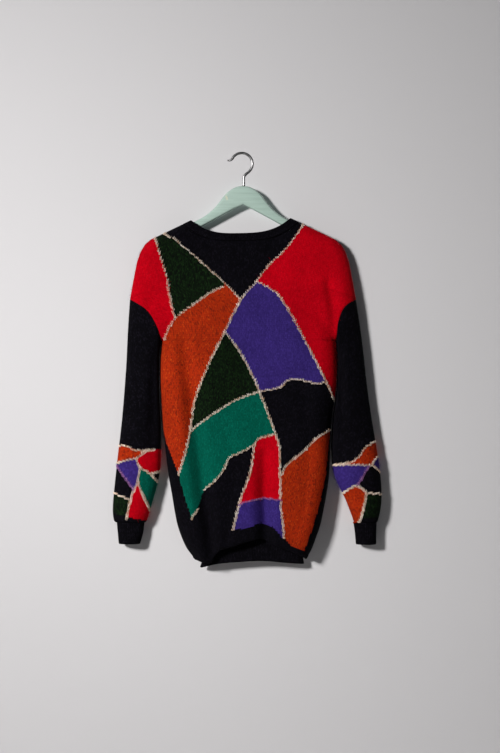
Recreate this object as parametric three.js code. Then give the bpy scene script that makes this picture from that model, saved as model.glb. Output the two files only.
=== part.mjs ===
// A knitted drop-shoulder pullover hanging on a flat wooden clothes hanger.
//
// The origin is the seat of the hook, where a nail or rail carries it. +X is to the right of
// someone who faces the pullover, the front faces -Y and +Z is up. Every piece of cloth is one
// wall of even thickness. Its outer face is a surface worked out from the hanging outline: a
// point of cloth lies ahead of or behind the plane y = 0 by a depth that rounds away to nothing
// where the front folds over into the back.

import * as THREE from 'three';

// ---- driving dimensions, millimetres ----------------------------------------------------
const WALL = 3;                 // thickness of the knitted cloth
const SEAM_GAP = 0.3;           // between two pieces at a seam

// Outline of one half from the front, as [x, z]: the shoulder line, the rounding over the
// hanger's end, and the fold down to where the sleeve begins.
const SHOULDER_SLOPE = 0.478;
const SHOULDER = { x: 99.5, z: -129.5 };
const SHOULDER_TURN = [[185, -170.4], [196, -180], [205, -195]];
const OUTER_FOLD = [[212, -215], [219, -250], [226, -290]];

// Neck opening: its middle, half width and drop, and the width that the band adds.
const NECK = { middle: -4.5, halfWidth: 99.5, drop: 29, power: 3.1 };
const BAND = { halfWidth: 116.5, drop: 37 };

// Armhole seams from the outer fold down to the armpit, as [x, z].
const ARMHOLE = {
  left: [[-226, -290], [-190, -313], [-169, -348], [-163, -374]],
  right: [[226, -290], [202, -306], [189, -336], [186, -374]],
};
const ARMPIT_Z = -374;

// Body below the armpits: [z, left edge, right edge].
const BODY_EDGES = [
  [-374, -163, 186], [-410, -165, 187.5], [-450, -165, 187], [-490, -163, 183], [-525, -161, 178],
  [-563, -158, 175], [-600, -154, 174], [-640, -149, 172.5], [-680, -142, 167], [-716, -136, 160],
  [-740, -131, 155], [-760, -124.5, 148], [-785, -113.5, 139], [-801, -102, 131], [-812, -94, 126],
];

// How far the cloth stands out: [z, front depth, back depth, rounding at the folds].
const BODY_DEPTH = [
  [-125, 15, 13.6, 15], [-180, 17, 13.6, 20], [-250, 22, 13.5, 30], [-330, 27, 14, 38], [-420, 32, 14.5, 42],
  [-520, 36, 15, 44], [-620, 41, 15, 44], [-700, 45, 15.5, 40], [-760, 44, 15.5, 34], [-815, 40, 15, 28],
];

// Lowest line of the cloth that blouses over the hem rib: [place across, z].
const FRONT_BLOUSE = [
  [-1, -808], [-0.85, -813], [-0.7, -813], [-0.58, -800], [-0.44, -788], [-0.31, -783], [-0.165, -777],
  [0.06, -768], [0.16, -766], [0.29, -772], [0.41, -779], [0.61, -788], [0.8, -797], [1, -806],
];
const BACK_BLOUSE = [[-1, -811], [-0.5, -799], [0, -788], [0.5, -791], [1, -809]];
const FRONT_ROLL = 5;           // radius of the turn under
const BACK_ROLL = 3.3;

// Soft vertical troughs: rows of [z, x, depth, half width].
const FRONT_TROUGHS = [
  [[-330, -121, 0, 16], [-400, -114, 7, 16], [-475, -104, 11, 16], [-612, -86, 14, 17],
    [-700, -75, 14, 15], [-760, -65, 11, 13], [-820, -62, 5, 12]],
  [[-520, 42, 0, 24], [-600, 43, 8, 20], [-680, 43, 14, 17], [-740, 44, 14.5, 15], [-800, 45, 12, 15]],
];
const BACK_TROUGHS = [
  [[-400, 84, 0, 22], [-560, 78, 3, 22], [-700, 70, 2, 20], [-770, 62, 0, 18]],
  [[-380, -70, 0, 24], [-540, -62, 3, 24], [-700, -54, 2, 20], [-770, -46, 0, 18]],
];

// Hem rib: lower edge across the width, its height, and [z, left, right, front, back].
const HEM_EDGE = [[-1, -825], [-0.7, -817], [-0.27, -813], [0.17, -811], [0.6, -814], [1, -818]];
const HEM_HEIGHT = 80;
const HEM_ROUNDING = 0.42;     // of half the width
const HEM_SECTION = [
  [-729, -74, 112, 15, 5], [-790, -76, 117, 16, 7.2], [-806, -79, 120, 18, 7.5], [-826, -86, 123, 20, 10],
];

// Sleeves below the armhole: outer and inner edges as [x, z], from the armhole to the cuff.
const SLEEVE_EDGES = {
  left: {
    outer: [[-226, -290], [-230, -350], [-234, -430], [-242, -530], [-252, -618], [-260, -700], [-258, -731]],
    inner: [[-163, -374], [-166, -400], [-166.8, -450], [-165.2, -500], [-163, -545], [-163.5, -590],
      [-167, -640], [-184, -706], [-193, -733]],
  },
  right: {
    outer: [[226, -290], [237, -364], [248, -461], [258, -532], [273, -625], [277, -690], [270, -731]],
    inner: [[186, -374], [188.8, -410], [188.4, -450], [184.8, -490], [180, -525], [177.3, -563], [177, -600],
      [182, -640], [205, -690], [221, -732]],
  },
};
// Along the sleeve: [share of its length, front depth, back depth, set back].
const SLEEVE_DEPTH = [
  [0, 26, 14, 0], [0.1, 25, 14.5, 0], [0.3, 25, 15, 0], [0.7, 26, 15.5, 0],
  [0.95, 25, 16, -0.5], [1, 17, 16, -1],
];
const SLEEVE_TROUGH = { depth: 7, at: 0.72, halfWidth: 0.16 };
const SLEEVE_SETTLE = 0.14;     // share of the length over which the seam's section becomes the arm's

// Cuffs: [z, left, right, depth] at the seam, half way and at the open end.
const CUFFS = {
  left: [[-734.5, -252, -197, 17], [-756, -250, -200, 16.5], [-778, -248, -206, 16]],
  right: [[-734.5, 221, 267, 17], [-756, 224, 266, 16.5], [-779, 226, 266, 16]],
};
const CUFF_SET_BACK = -1;

// Hanger: top edge of one half from the middle out, lower edge, board and wire.
const BOARD_THICKNESS = 13;
const BOARD_EDGE_ROUNDING = 5;
const BOARD_TOP = [
  [0, -63.5], [13, -65], [26, -72], [37, -82], [47, -95], [60, -110], [76, -123], [94, -133],
];
const BOARD_TOP_END = [[170, -170.5], [178, -176], [181, -182], [177, -191]];
const BOARD_LOW_APEX = -101;
const BOARD_LOW_SLOPE = 0.545;
const BOARD_LOW_END_X = 168;
const BOARD_EASING = [[0.72, 0], [0.2, 1]];   // draw-in as a share of the rounding, depth below the face
const WIRE_RADIUS = 2.75;
const WIRE_SIDES = 10;
const HOOK_BEND = { x: -2.5, radius: 21.5, from: -0.785, to: 2.7, steps: 22 };
const HOOK_STEM = [[1.8, -63.2], [1.8, -53], [2.1, -45.5], [4, -41.4]];
const HOOK_LIP = [[-25.2, -11.4], [-28, -12.2], [-31, -11.4]];
const HOOK_LIP_TAPER = [0.85, 0.62, 0.5];

// Facets of the cloth.
const NECK_SIDES = 24;          // round the neck, so half of them are columns of each panel
const SHOULDER_COLUMNS = 5;     // beyond the neck on either side
const SLEEVE_SIDES = 20;        // round a sleeve, so half of them are rows of each panel
const BODY_ROWS = 11;
const HEM_SIDES = 24;
const CUFF_SIDES = 20;

const FRONT = -1;
const BACK = 1;

// ---- curves and fields ------------------------------------------------------------------
/** Smooth value at a key: cubic Hermite through stations [key, values...], in either order. */
function at(stations, key, column = 1) {
  const rows = stations[0][0] < stations[stations.length - 1][0] ? stations : [...stations].reverse();
  const last = rows.length - 1;
  if (key <= rows[0][0]) return rows[0][column];
  if (key >= rows[last][0]) return rows[last][column];
  let i = 0;
  while (key > rows[i + 1][0]) i += 1;
  const slope = (a, b) => (rows[b][column] - rows[a][column]) / (rows[b][0] - rows[a][0]);
  const here = i > 0 ? slope(i - 1, i + 1) : slope(0, 1);
  const next = i + 1 < last ? slope(i, i + 2) : slope(last - 1, last);
  const span = rows[i + 1][0] - rows[i][0];
  const t = (key - rows[i][0]) / span;
  const t2 = t * t;
  const t3 = t2 * t;
  return (2 * t3 - 3 * t2 + 1) * rows[i][column] + (t3 - 2 * t2 + t) * span * here
    + (3 * t2 - 2 * t3) * rows[i + 1][column] + (t3 - t2) * span * next;
}

const mix = (a, b, t) => a + (b - a) * t;
const shoulderZ = (x) => SHOULDER.z - SHOULDER_SLOPE * (Math.abs(x) - SHOULDER.x);
const spline = (points) => new THREE.SplineCurve(points.map(([x, z]) => new THREE.Vector2(x, z)));

/** Point of the neckline (shape NECK) or of the band's outer edge (BAND), for u from -1 to 1. */
function neckPoint(u, shape) {
  const leftEnd = NECK.middle - shape.halfWidth;
  const rightEnd = NECK.middle + shape.halfWidth;
  const chord = mix(shoulderZ(leftEnd), shoulderZ(rightEnd), (u + 1) / 2);
  return [NECK.middle + shape.halfWidth * u, chord - shape.drop * (1 - Math.abs(u) ** NECK.power)];
}

/** The fold line of one side: from the neck point over the shoulder to the sleeve. */
function foldLine(side) {
  const neckX = NECK.middle + side * NECK.halfWidth;
  const turn = [...SHOULDER_TURN, ...OUTER_FOLD].map(([x, z]) => [side * x, z]);
  return [[neckX, shoulderZ(neckX)], ...turn];
}

/** The fold line of one side of the body, in steps short enough to follow the curve of the edge. */
function bodyEdge(side) {
  const low = BODY_EDGES[BODY_EDGES.length - 1][0];
  const steps = 48;
  return Array.from({ length: steps + 1 }, (_, i) => {
    const z = mix(ARMPIT_Z, low, i / steps);
    return [at(BODY_EDGES, z, side < 0 ? 1 : 2), z];
  });
}

const FOLDS = [foldLine(-1), foldLine(1), bodyEdge(-1), bodyEdge(1)];
const BODY_CENTRE = new THREE.Vector2(10, -420);

/** Distance from [x, z] to the nearest fold, and that fold's outward direction in the plane. */
function nearestFold(x, z) {
  const point = new THREE.Vector2(x, z);
  let best = { distance: Infinity, out: null };
  for (const line of FOLDS) {
    for (let i = 0; i + 1 < line.length; i += 1) {
      const start = new THREE.Vector2(...line[i]);
      const along = new THREE.Vector2(...line[i + 1]).sub(start);
      const share = THREE.MathUtils.clamp(point.clone().sub(start).dot(along) / along.lengthSq(), 0, 1);
      const foot = start.clone().addScaledVector(along, share);
      const distance = foot.distanceTo(point);
      if (distance < best.distance) {
        const out = new THREE.Vector2(along.y, -along.x).normalize();
        if (out.dot(foot.clone().sub(BODY_CENTRE)) < 0) out.negate();
        best = { distance, out };
      }
    }
  }
  return best;
}

/** How deep the troughs of one face cut into the cloth at [x, z]. */
function troughDepth(troughs, x, z) {
  return troughs.reduce((sum, rows) => {
    const offset = (x - at(rows, z, 1)) / at(rows, z, 3);
    return sum + at(rows, z, 2) * Math.exp(-offset * offset);
  }, 0);
}

/** Share of the full depth at a distance from a fold, a quarter circle up to the rounding. */
function roundedShare(distance, rounding) {
  const inside = Math.max(0, 1 - distance / rounding);
  return Math.sqrt(1 - inside * inside);
}

/** Depth coordinate y of the body's front or back face over the point [x, z]. */
function bodyY(x, z, face) {
  const rounding = at(BODY_DEPTH, z, 3);
  const share = roundedShare(nearestFold(x, z).distance, rounding);
  const depth = at(BODY_DEPTH, z, face === FRONT ? 1 : 2);
  const trough = troughDepth(face === FRONT ? FRONT_TROUGHS : BACK_TROUGHS, x, z);
  return face * (depth - trough) * share;
}

/** Outward direction of the rounded body at [x, z]: an ellipse's, rounding by depth. */
function bodyOut(x, z, face) {
  const rounding = at(BODY_DEPTH, z, 3);
  const depth = at(BODY_DEPTH, z, face === FRONT ? 1 : 2);
  const fold = nearestFold(x, z);
  const inside = Math.max(0, 1 - fold.distance / rounding);
  const across = inside / rounding;
  const ahead = Math.sqrt(1 - inside * inside) / depth;
  return new THREE.Vector3(fold.out.x * across, face * ahead, fold.out.y * across).normalize();
}

/** Outward direction at a seam that rings a sleeve: ellipse in the seam's own direction. */
function ringOut(along, share, length, rounding, depth, face) {
  const distance = Math.min(share, 1 - share) * length;
  const inside = Math.max(0, 1 - distance / rounding);
  const across = (share < 0.5 ? -1 : 1) * inside / rounding;
  const ahead = Math.sqrt(1 - inside * inside) / depth;
  return new THREE.Vector3(along.x * across, face * ahead, along.y * across).normalize();
}

// ---- cloth walls ------------------------------------------------------------------------
/**
 * Closed wall from rows of {point, out}: the outer face, the same face moved in by the wall,
 * and the rims. Rows that close on themselves make a tube.
 */
function clothWall(rows, closed) {
  const count = rows[0].length;
  const outer = rows.flatMap((row) => row.map(({ point }) => point));
  const inner = rows.flatMap((row) => row.map(({ point, out }) => point.clone().addScaledVector(out, -WALL)));
  const vertices = [...outer, ...inner];
  const shift = outer.length;
  const index = [];
  const quad = (a, b, c, d) => index.push(a, b, c, a, c, d);
  const lastColumn = closed ? count : count - 1;
  for (let r = 0; r + 1 < rows.length; r += 1) {
    for (let c = 0; c < lastColumn; c += 1) {
      const a = r * count + c;
      const b = r * count + (c + 1) % count;
      quad(a, b, b + count, a + count);
      quad(a + shift, a + count + shift, b + count + shift, b + shift);
    }
  }
  const bottom = (rows.length - 1) * count;
  for (let c = 0; c < lastColumn; c += 1) {
    const next = (c + 1) % count;
    quad(c, c + shift, next + shift, next);
    quad(bottom + c, bottom + next, bottom + next + shift, bottom + c + shift);
  }
  for (let r = 0; r + 1 < rows.length && !closed; r += 1) {
    const a = r * count;
    const z = a + count - 1;
    quad(a, a + count, a + count + shift, a + shift);
    quad(z, z + shift, z + count + shift, z + count);
  }
  return solidFrom(vertices, index);
}

/** Geometry from vertices and triangles, turned so that its faces point out. */
function solidFrom(vertices, index) {
  const cross = new THREE.Vector3();
  let volume = 0;
  for (let i = 0; i < index.length; i += 3) {
    cross.crossVectors(vertices[index[i + 1]], vertices[index[i + 2]]);
    volume += vertices[index[i]].dot(cross);
  }
  const turned = () => index.flatMap((_, i) => (i % 3 ? [] : [index[i], index[i + 2], index[i + 1]]));
  const order = volume > 0 ? index : turned();
  const geometry = new THREE.BufferGeometry();
  const places = vertices.flatMap((v) => v.toArray());
  geometry.setAttribute('position', new THREE.Float32BufferAttribute(places, 3));
  geometry.setIndex(order);
  geometry.computeVertexNormals();
  return geometry;
}

// ---- front and back panels --------------------------------------------------------------
/** Places across a panel from -1 to 1: a column at each vertex of the neckband, then the shoulders. */
const NECK_SHARE = 0.56;
const shoulderPlaces = Array.from({ length: SHOULDER_COLUMNS }, (_, i) => (
  NECK_SHARE + (1 - NECK_SHARE) * Math.sin((Math.PI / 2) * ((i + 1) / SHOULDER_COLUMNS))));
const neckPlaces = Array.from({ length: NECK_SIDES / 2 + 1 }, (_, i) => (
  -NECK_SHARE * Math.cos((2 * Math.PI * i) / NECK_SIDES)));
const across = [...shoulderPlaces.map((s) => -s).reverse(), ...neckPlaces, ...shoulderPlaces];

/** Places up the yoke from 1 to 0: along the shoulder fold, then a row at each sleeve vertex. */
const SEAM_SHARE = 0.5;
const FOLD_PLACES = [1, 0.985, 0.95, 0.88, 0.78, 0.65];
const seamPlaces = Array.from({ length: SLEEVE_SIDES / 2 + 1 }, (_, i) => (
  (SEAM_SHARE * (1 + Math.cos((2 * Math.PI * i) / SLEEVE_SIDES))) / 2));

/** Top edge of a panel, from the left shoulder corner to the right one, for s from -1 to 1. */
function topEdge(s) {
  if (Math.abs(s) <= NECK_SHARE) return new THREE.Vector2(...neckPoint(s / NECK_SHARE, BAND));
  const side = Math.sign(s);
  const start = neckPoint(side, BAND);
  const corner = SHOULDER_TURN.map(([x, z]) => new THREE.Vector2(side * x, z));
  const line = [new THREE.Vector2(...start), ...corner];
  const lengths = line.map((p, i) => (i ? p.distanceTo(line[i - 1]) : 0));
  let left = ((Math.abs(s) - NECK_SHARE) / (1 - NECK_SHARE)) * lengths.reduce((a, b) => a + b, 0);
  for (let i = 1; i < line.length; i += 1) {
    const share = Math.min(1, left / lengths[i]);
    if (share < 1 || i === line.length - 1) return line[i - 1].clone().lerp(line[i], share);
    left -= lengths[i];
  }
  return line[line.length - 1];
}

/** Side edge above the armpit, for t from 0 at the armpit to 1 at the shoulder corner. */
function sideEdge(side, t) {
  const seam = spline(side < 0 ? ARMHOLE.left : ARMHOLE.right);
  if (t <= SEAM_SHARE) return { point: seam.getPointAt(1 - t / SEAM_SHARE), seamShare: 1 - t / SEAM_SHARE };
  const fold = [...OUTER_FOLD].reverse().map(([x, z]) => [side * x, z]);
  const corner = SHOULDER_TURN[SHOULDER_TURN.length - 1];
  const line = new THREE.CurvePath();
  const stops = [...fold, [side * corner[0], corner[1]]].map(([x, z]) => new THREE.Vector2(x, z));
  for (let i = 1; i < stops.length; i += 1) line.add(new THREE.LineCurve(stops[i - 1], stops[i]));
  return { point: line.getPointAt((t - SEAM_SHARE) / (1 - SEAM_SHARE)), seamShare: null };
}

const bodyX = (z, s) => mix(at(BODY_EDGES, z, 1), at(BODY_EDGES, z, 2), (s + 1) / 2);

/** Point of the yoke in the plane: its four edges blended into one patch. */
function yokePlane(s, t) {
  const low = new THREE.Vector2(bodyX(ARMPIT_Z, s), ARMPIT_Z);
  const high = topEdge(s);
  const left = sideEdge(-1, t).point;
  const right = sideEdge(1, t).point;
  const w = (s + 1) / 2;
  const corners = [bodyX(ARMPIT_Z, -1), bodyX(ARMPIT_Z, 1), topEdge(-1), topEdge(1)];
  const x = mix(low.x, high.x, t) + mix(left.x, right.x, w)
    - mix(mix(corners[0], corners[1], w), mix(corners[2].x, corners[3].x, w), t);
  const z = mix(low.y, high.y, t) + mix(left.y, right.y, w)
    - mix(ARMPIT_Z, mix(corners[2].y, corners[3].y, w), t);
  return [x, z];
}

/** One row of the yoke. Its ends lie on the armhole seam or on the fold over the shoulder. */
function yokeRow(t, face) {
  return across.map((s) => {
    const [x, z] = yokePlane(s, t);
    const end = Math.abs(s) > 0.9999;
    const edge = end ? sideEdge(Math.sign(s), t) : { seamShare: null };
    if (end && edge.seamShare !== null && t > 0) return armholeVertex(Math.sign(s), edge.seamShare, face, -1);
    const y = face * Math.max(Math.abs(bodyY(x, z, face)), SEAM_GAP / 2);
    const out = end || t === 1 ? edgeOut(x, z, face) : bodyOut(x, z, face);
    return { point: new THREE.Vector3(x, y, z), out };
  });
}

/** Outward direction on a panel's edge: in the plane of the fold where the edge is one. */
function edgeOut(x, z, face) {
  const fold = nearestFold(x, z);
  if (fold.distance > 0.5) return bodyOut(x, z, face);
  return new THREE.Vector3(fold.out.x, 0, fold.out.y);
}

/** Vertex on an armhole seam, half a gap to the panel's side (-1) or the sleeve's side (1). */
function armholeVertex(side, share, face, towards) {
  const seam = spline(side < 0 ? ARMHOLE.left : ARMHOLE.right);
  const place = seam.getPointAt(share);
  const along = seam.getTangentAt(share);
  const away = new THREE.Vector2(side * Math.abs(along.y), -Math.abs(along.x)).normalize();
  const rounding = at(BODY_DEPTH, place.y, 3);
  const depth = at(BODY_DEPTH, place.y, face === FRONT ? 1 : 2);
  const distance = Math.min(share, 1 - share) * seam.getLength();
  const y = face * depth * roundedShare(distance, rounding);
  const out = ringOut(along, share, seam.getLength(), rounding, depth, face);
  const kept = face * Math.max(Math.abs(y), towards < 0 ? SEAM_GAP / 2 : 0);
  const half = (towards * SEAM_GAP) / 2;
  return { point: new THREE.Vector3(place.x + away.x * half, kept, place.y + away.y * half), out };
}

/** Rows of the body from the armpit down, the turn under, and the return up to the hem seam. */
function bodyRows(face) {
  const blouse = face === FRONT ? FRONT_BLOUSE : BACK_BLOUSE;
  const roll = face === FRONT ? FRONT_ROLL : BACK_ROLL;
  const rows = [];
  for (let r = 1; r <= BODY_ROWS; r += 1) {
    rows.push(across.map((s) => {
      const z = mix(ARMPIT_Z, at(blouse, s) + roll, r / BODY_ROWS);
      const x = bodyX(z, s);
      const end = Math.abs(s) > 0.9999;
      const y = face * Math.max(end ? 0 : Math.abs(bodyY(x, z, face)), SEAM_GAP / 2);
      const out = end ? new THREE.Vector3(Math.sign(s), 0, 0) : bodyOut(x, z, face);
      return { point: new THREE.Vector3(x, y, z), out };
    }));
  }
  const lip = rows[rows.length - 1];
  const flat = lip.map(({ out }) => new THREE.Vector3(out.x, out.y, 0).normalize());
  for (const turn of [Math.PI / 4, Math.PI / 2, (3 * Math.PI) / 4, Math.PI]) {
    rows.push(lip.map(({ point }, i) => {
      const centre = point.clone().addScaledVector(flat[i], -roll);
      const out = flat[i].clone().multiplyScalar(Math.cos(turn));
      out.z -= Math.sin(turn);
      return { point: keptApart(centre.addScaledVector(out, roll), face), out };
    }));
  }
  const low = rows[rows.length - 1];
  const seam = across.map((s) => hemPoint(s, 1, face, 2 * SEAM_GAP));
  for (const share of [0.5, 1]) {
    rows.push(low.map(({ point }, i) => {
      const top = seam[i].point.clone();
      top.z = Math.max(top.z - SEAM_GAP, point.z + 2);
      return { point: keptApart(point.clone().lerp(top, share), face), out: flat[i].clone().negate() };
    }));
  }
  return rows;
}

/** The same point, kept half a seam gap on its own side of the plane y = 0. */
function keptApart(point, face) {
  return new THREE.Vector3(point.x, face * Math.max(face * point.y, SEAM_GAP / 2), point.z);
}

function panel(face) {
  const yoke = [...FOLD_PLACES, ...seamPlaces].map((t) => yokeRow(t, face));
  return clothWall([...yoke, ...bodyRows(face)], false);
}

// ---- hem rib ----------------------------------------------------------------------------
/** Vertex of the hem rib: s across, rise 0 at its lower edge and 1 at its seam. */
function hemPoint(s, rise, face, clearance = 0) {
  const z = at(HEM_EDGE, s) + HEM_HEIGHT * rise;
  const left = at(HEM_SECTION, z, 1);
  const right = at(HEM_SECTION, z, 2);
  const depth = at(HEM_SECTION, z, face === FRONT ? 3 : 4);
  const half = (right - left) / 2;
  const rounding = HEM_ROUNDING * half;
  const inside = Math.max(0, 1 - (half * (1 - Math.abs(s))) / rounding);
  const share = Math.sqrt(1 - inside * inside);
  const out = new THREE.Vector3((Math.sign(s) * inside) / rounding, (face * share) / depth, 0).normalize();
  const y = face * depth * share;
  const point = new THREE.Vector3(mix(left, right, (s + 1) / 2), y, z).addScaledVector(out, clearance);
  return { point, out };
}

/** Ring of a tube: the front from left to right, then the back from right to left. */
function ringOf(sides, vertex) {
  const half = Array.from({ length: sides / 2 }, (_, i) => -Math.cos((2 * Math.PI * i) / sides));
  return [...half.map((s) => vertex(s, FRONT)), ...half.map((s) => vertex(-s, BACK))];
}

function hemRib() {
  const ring = (rise) => ringOf(HEM_SIDES, (s, face) => hemPoint(s, rise, face));
  return clothWall([1, 0.66, 0.33, 0].map(ring), true);
}

// ---- neckband ---------------------------------------------------------------------------
function neckband() {
  const widths = [0, 0.5, 1];
  return clothWall(widths.map((width) => Array.from({ length: NECK_SIDES }, (_, i) => {
    const turn = (2 * Math.PI * i) / NECK_SIDES;
    const u = Math.sin(turn);
    const face = Math.cos(turn) > 0 ? FRONT : BACK;
    const top = new THREE.Vector2(...neckPoint(u, NECK));
    const low = new THREE.Vector2(...neckPoint(u, BAND));
    const down = low.clone().sub(top).setLength(2 * SEAM_GAP);
    const place = top.lerp(low, width).addScaledVector(down, width === 1 ? -1 : 0);
    const crossing = Math.abs(u) > 0.9999;
    const y = crossing ? 0 : bodyY(place.x, place.y, face);
    return { point: new THREE.Vector3(place.x, y, place.y), out: edgeOut(place.x, place.y, face) };
  })), true);
}

// ---- sleeves and cuffs ------------------------------------------------------------------
const SLEEVE_STOPS = [0, 0.04, 0.1, 0.18, 0.28, 0.4, 0.52, 0.64, 0.76, 0.87, 0.94, 0.975, 1];

/** Point of a sleeve: w from 0 at its outer fold to 1 at its inner one, v down to the cuff. */
function sleeveVertex(side, w, v, face) {
  if (v === 0) return armholeVertex(side, w, face, 1);
  const name = side < 0 ? 'left' : 'right';
  const seam = spline(ARMHOLE[name]).getPointAt(w);
  const cuff = CUFFS[name][0];
  const [cuffOuter, cuffInner] = side < 0 ? [cuff[1], cuff[2]] : [cuff[2], cuff[1]];
  const lowZ = cuff[0] + SEAM_GAP / 2;
  const low = new THREE.Vector2(mix(cuffOuter, cuffInner, w), lowZ);
  const outer = sleeveEdge(name, 'outer', v, [cuffOuter, lowZ]);
  const inner = sleeveEdge(name, 'inner', v, [cuffInner, lowZ]);
  const chord = spline(ARMHOLE[name]).getPointAt(0).lerp(spline(ARMHOLE[name]).getPointAt(1), w);
  const blend = (key) => mix(seam[key], low[key], v) + mix(outer[key], inner[key], w)
    - mix(chord[key], low[key], v);
  const place = new THREE.Vector2(blend('x'), blend('y'));
  const width = outer.distanceTo(inner);
  const bodyRounding = at(BODY_DEPTH, seam.y, 3);
  const settle = THREE.MathUtils.smoothstep(v, 0, SLEEVE_SETTLE);
  const rounding = mix(bodyRounding, 0.5 * width, settle);
  const bodyDepth = at(BODY_DEPTH, seam.y, face === FRONT ? 1 : 2);
  const depth = mix(bodyDepth, at(SLEEVE_DEPTH, v, face === FRONT ? 1 : 2), settle);
  const share = roundedShare(Math.min(w, 1 - w) * width, rounding);
  const offset = (w - SLEEVE_TROUGH.at) / SLEEVE_TROUGH.halfWidth;
  const fade = Math.sin(Math.PI * Math.min(1, v * 1.3)) ** 2;
  const trough = SLEEVE_TROUGH.depth * fade * Math.exp(-offset * offset);
  const y = at(SLEEVE_DEPTH, v, 3) + face * (depth - trough) * share;
  const along = inner.clone().sub(outer).normalize();
  const out = ringOut(along, w, width, rounding, depth, face);
  return { point: new THREE.Vector3(place.x, y, place.y), out };
}

/** Edge of a sleeve seen from the front, ending at the cuff's seam. */
function sleeveEdge(name, edge, v, end) {
  return spline([...SLEEVE_EDGES[name][edge], end]).getPointAt(v);
}

function sleeve(side) {
  const vertex = (v) => (s, face) => sleeveVertex(side, side < 0 ? (s + 1) / 2 : (1 - s) / 2, v, face);
  return clothWall(SLEEVE_STOPS.map((v) => ringOf(SLEEVE_SIDES, vertex(v))), true);
}

function cuff(stations) {
  return clothWall(stations.map(([z, left, right, depth], r) => ringOf(CUFF_SIDES, (s, face) => {
    const half = (right - left) / 2;
    const share = Math.sqrt(1 - s * s);
    const out = new THREE.Vector3(s / half, (face * share) / depth, 0).normalize();
    const y = CUFF_SET_BACK + face * depth * share;
    return { point: new THREE.Vector3((left + right) / 2 + half * s, y, z - (r ? 0 : SEAM_GAP / 2)), out };
  })), true);
}

// ---- hanger -----------------------------------------------------------------------------
/** Flat board with both long edges eased: its outline at four depths, skinned. */
function hangerBoard() {
  const right = [...BOARD_TOP, ...BOARD_TOP_END];
  for (const share of [1, 0.5]) {
    const x = share * BOARD_LOW_END_X;
    right.push([x, BOARD_LOW_APEX - BOARD_LOW_SLOPE * x]);
  }
  const left = right.slice(1).reverse().map(([x, z]) => [-x, z]);
  const outline = [...right, [0, BOARD_LOW_APEX], ...left].map(([x, z]) => new THREE.Vector2(x, z));
  const half = BOARD_THICKNESS / 2;
  const near = BOARD_EASING.map(([share, below]) => (
    [insetOutline(outline, BOARD_EDGE_ROUNDING * share), -half + below]));
  near.push([outline, -half + BOARD_EDGE_ROUNDING]);
  const layers = [...near, ...near.map(([line, y]) => [line, -y]).reverse()];
  const vertices = layers.flatMap(([line, y]) => line.map((p) => new THREE.Vector3(p.x, y, p.y)));
  const count = outline.length;
  const index = [];
  for (let k = 0; k + 1 < layers.length; k += 1) {
    for (let i = 0; i < count; i += 1) {
      const a = k * count + i;
      const b = k * count + (i + 1) % count;
      index.push(a, b, b + count, a, b + count, a + count);
    }
  }
  const lids = THREE.ShapeUtils.triangulateShape(near[0][0], []);
  const far = (layers.length - 1) * count;
  for (const [a, b, c] of lids) index.push(a, b, c, far + a, far + c, far + b);
  return solidFrom(vertices, index);
}

/** The outline moved in by a distance, each corner along its own bisector. */
function insetOutline(outline, distance) {
  const count = outline.length;
  const turn = THREE.ShapeUtils.isClockWise(outline) ? 1 : -1;
  return outline.map((point, i) => {
    const before = point.clone().sub(outline[(i + count - 1) % count]).normalize();
    const after = outline[(i + 1) % count].clone().sub(point).normalize();
    const normal = before.clone().add(after).normalize();
    const inward = new THREE.Vector2(normal.y * turn, -normal.x * turn);
    return point.clone().addScaledVector(inward, distance);
  });
}

/** Wire hook: stem, lean to the right, round bend over the seat, and a short lip. */
function hangerHook() {
  const { x: bendX, radius: bendRadius, from, to, steps } = HOOK_BEND;
  const bendZ = -Math.sqrt((bendRadius - WIRE_RADIUS) ** 2 - bendX ** 2);
  const bend = Array.from({ length: steps + 1 }, (_, i) => {
    const angle = mix(from, to, i / steps);
    return [bendX + bendRadius * Math.cos(angle), bendZ + bendRadius * Math.sin(angle)];
  });
  const route = [...HOOK_STEM, ...bend, ...HOOK_LIP];
  const sides = WIRE_SIDES;
  const path = route.map(([x, z]) => new THREE.Vector3(x, 0, z));
  const vertices = path.flatMap((point, i) => {
    const before = path[Math.max(0, i - 1)];
    const after = path[Math.min(path.length - 1, i + 1)];
    const along = after.clone().sub(before).normalize();
    const sideways = new THREE.Vector3(along.z, 0, -along.x);
    const taper = HOOK_LIP_TAPER[i - path.length + HOOK_LIP.length] ?? 1;
    const radius = WIRE_RADIUS * taper;
    return Array.from({ length: sides }, (_, k) => {
      const angle = (2 * Math.PI * k) / sides;
      const ring = point.clone().addScaledVector(sideways, radius * Math.cos(angle));
      ring.y += radius * Math.sin(angle);
      return ring;
    });
  });
  const index = [];
  for (let r = 0; r + 1 < path.length; r += 1) {
    for (let k = 0; k < sides; k += 1) {
      const a = r * sides + k;
      const b = r * sides + (k + 1) % sides;
      index.push(a, b, b + sides, a, b + sides, a + sides);
    }
  }
  const far = (path.length - 1) * sides;
  for (let k = 1; k + 1 < sides; k += 1) index.push(0, k + 1, k, far, far + k, far + k + 1);
  return solidFrom(vertices, index);
}

// ---- the object -------------------------------------------------------------------------
const wool = (color) => new THREE.MeshStandardMaterial({ color, roughness: 0.95, metalness: 0 });
const blackWool = wool(0x121015);
const redWool = wool(0xab0114);
const mintPaint = new THREE.MeshStandardMaterial({ color: 0xa1c4b6, roughness: 0.5, metalness: 0 });
const chrome = new THREE.MeshStandardMaterial({ color: 0xc8c8cc, roughness: 0.15, metalness: 1 });

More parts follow.
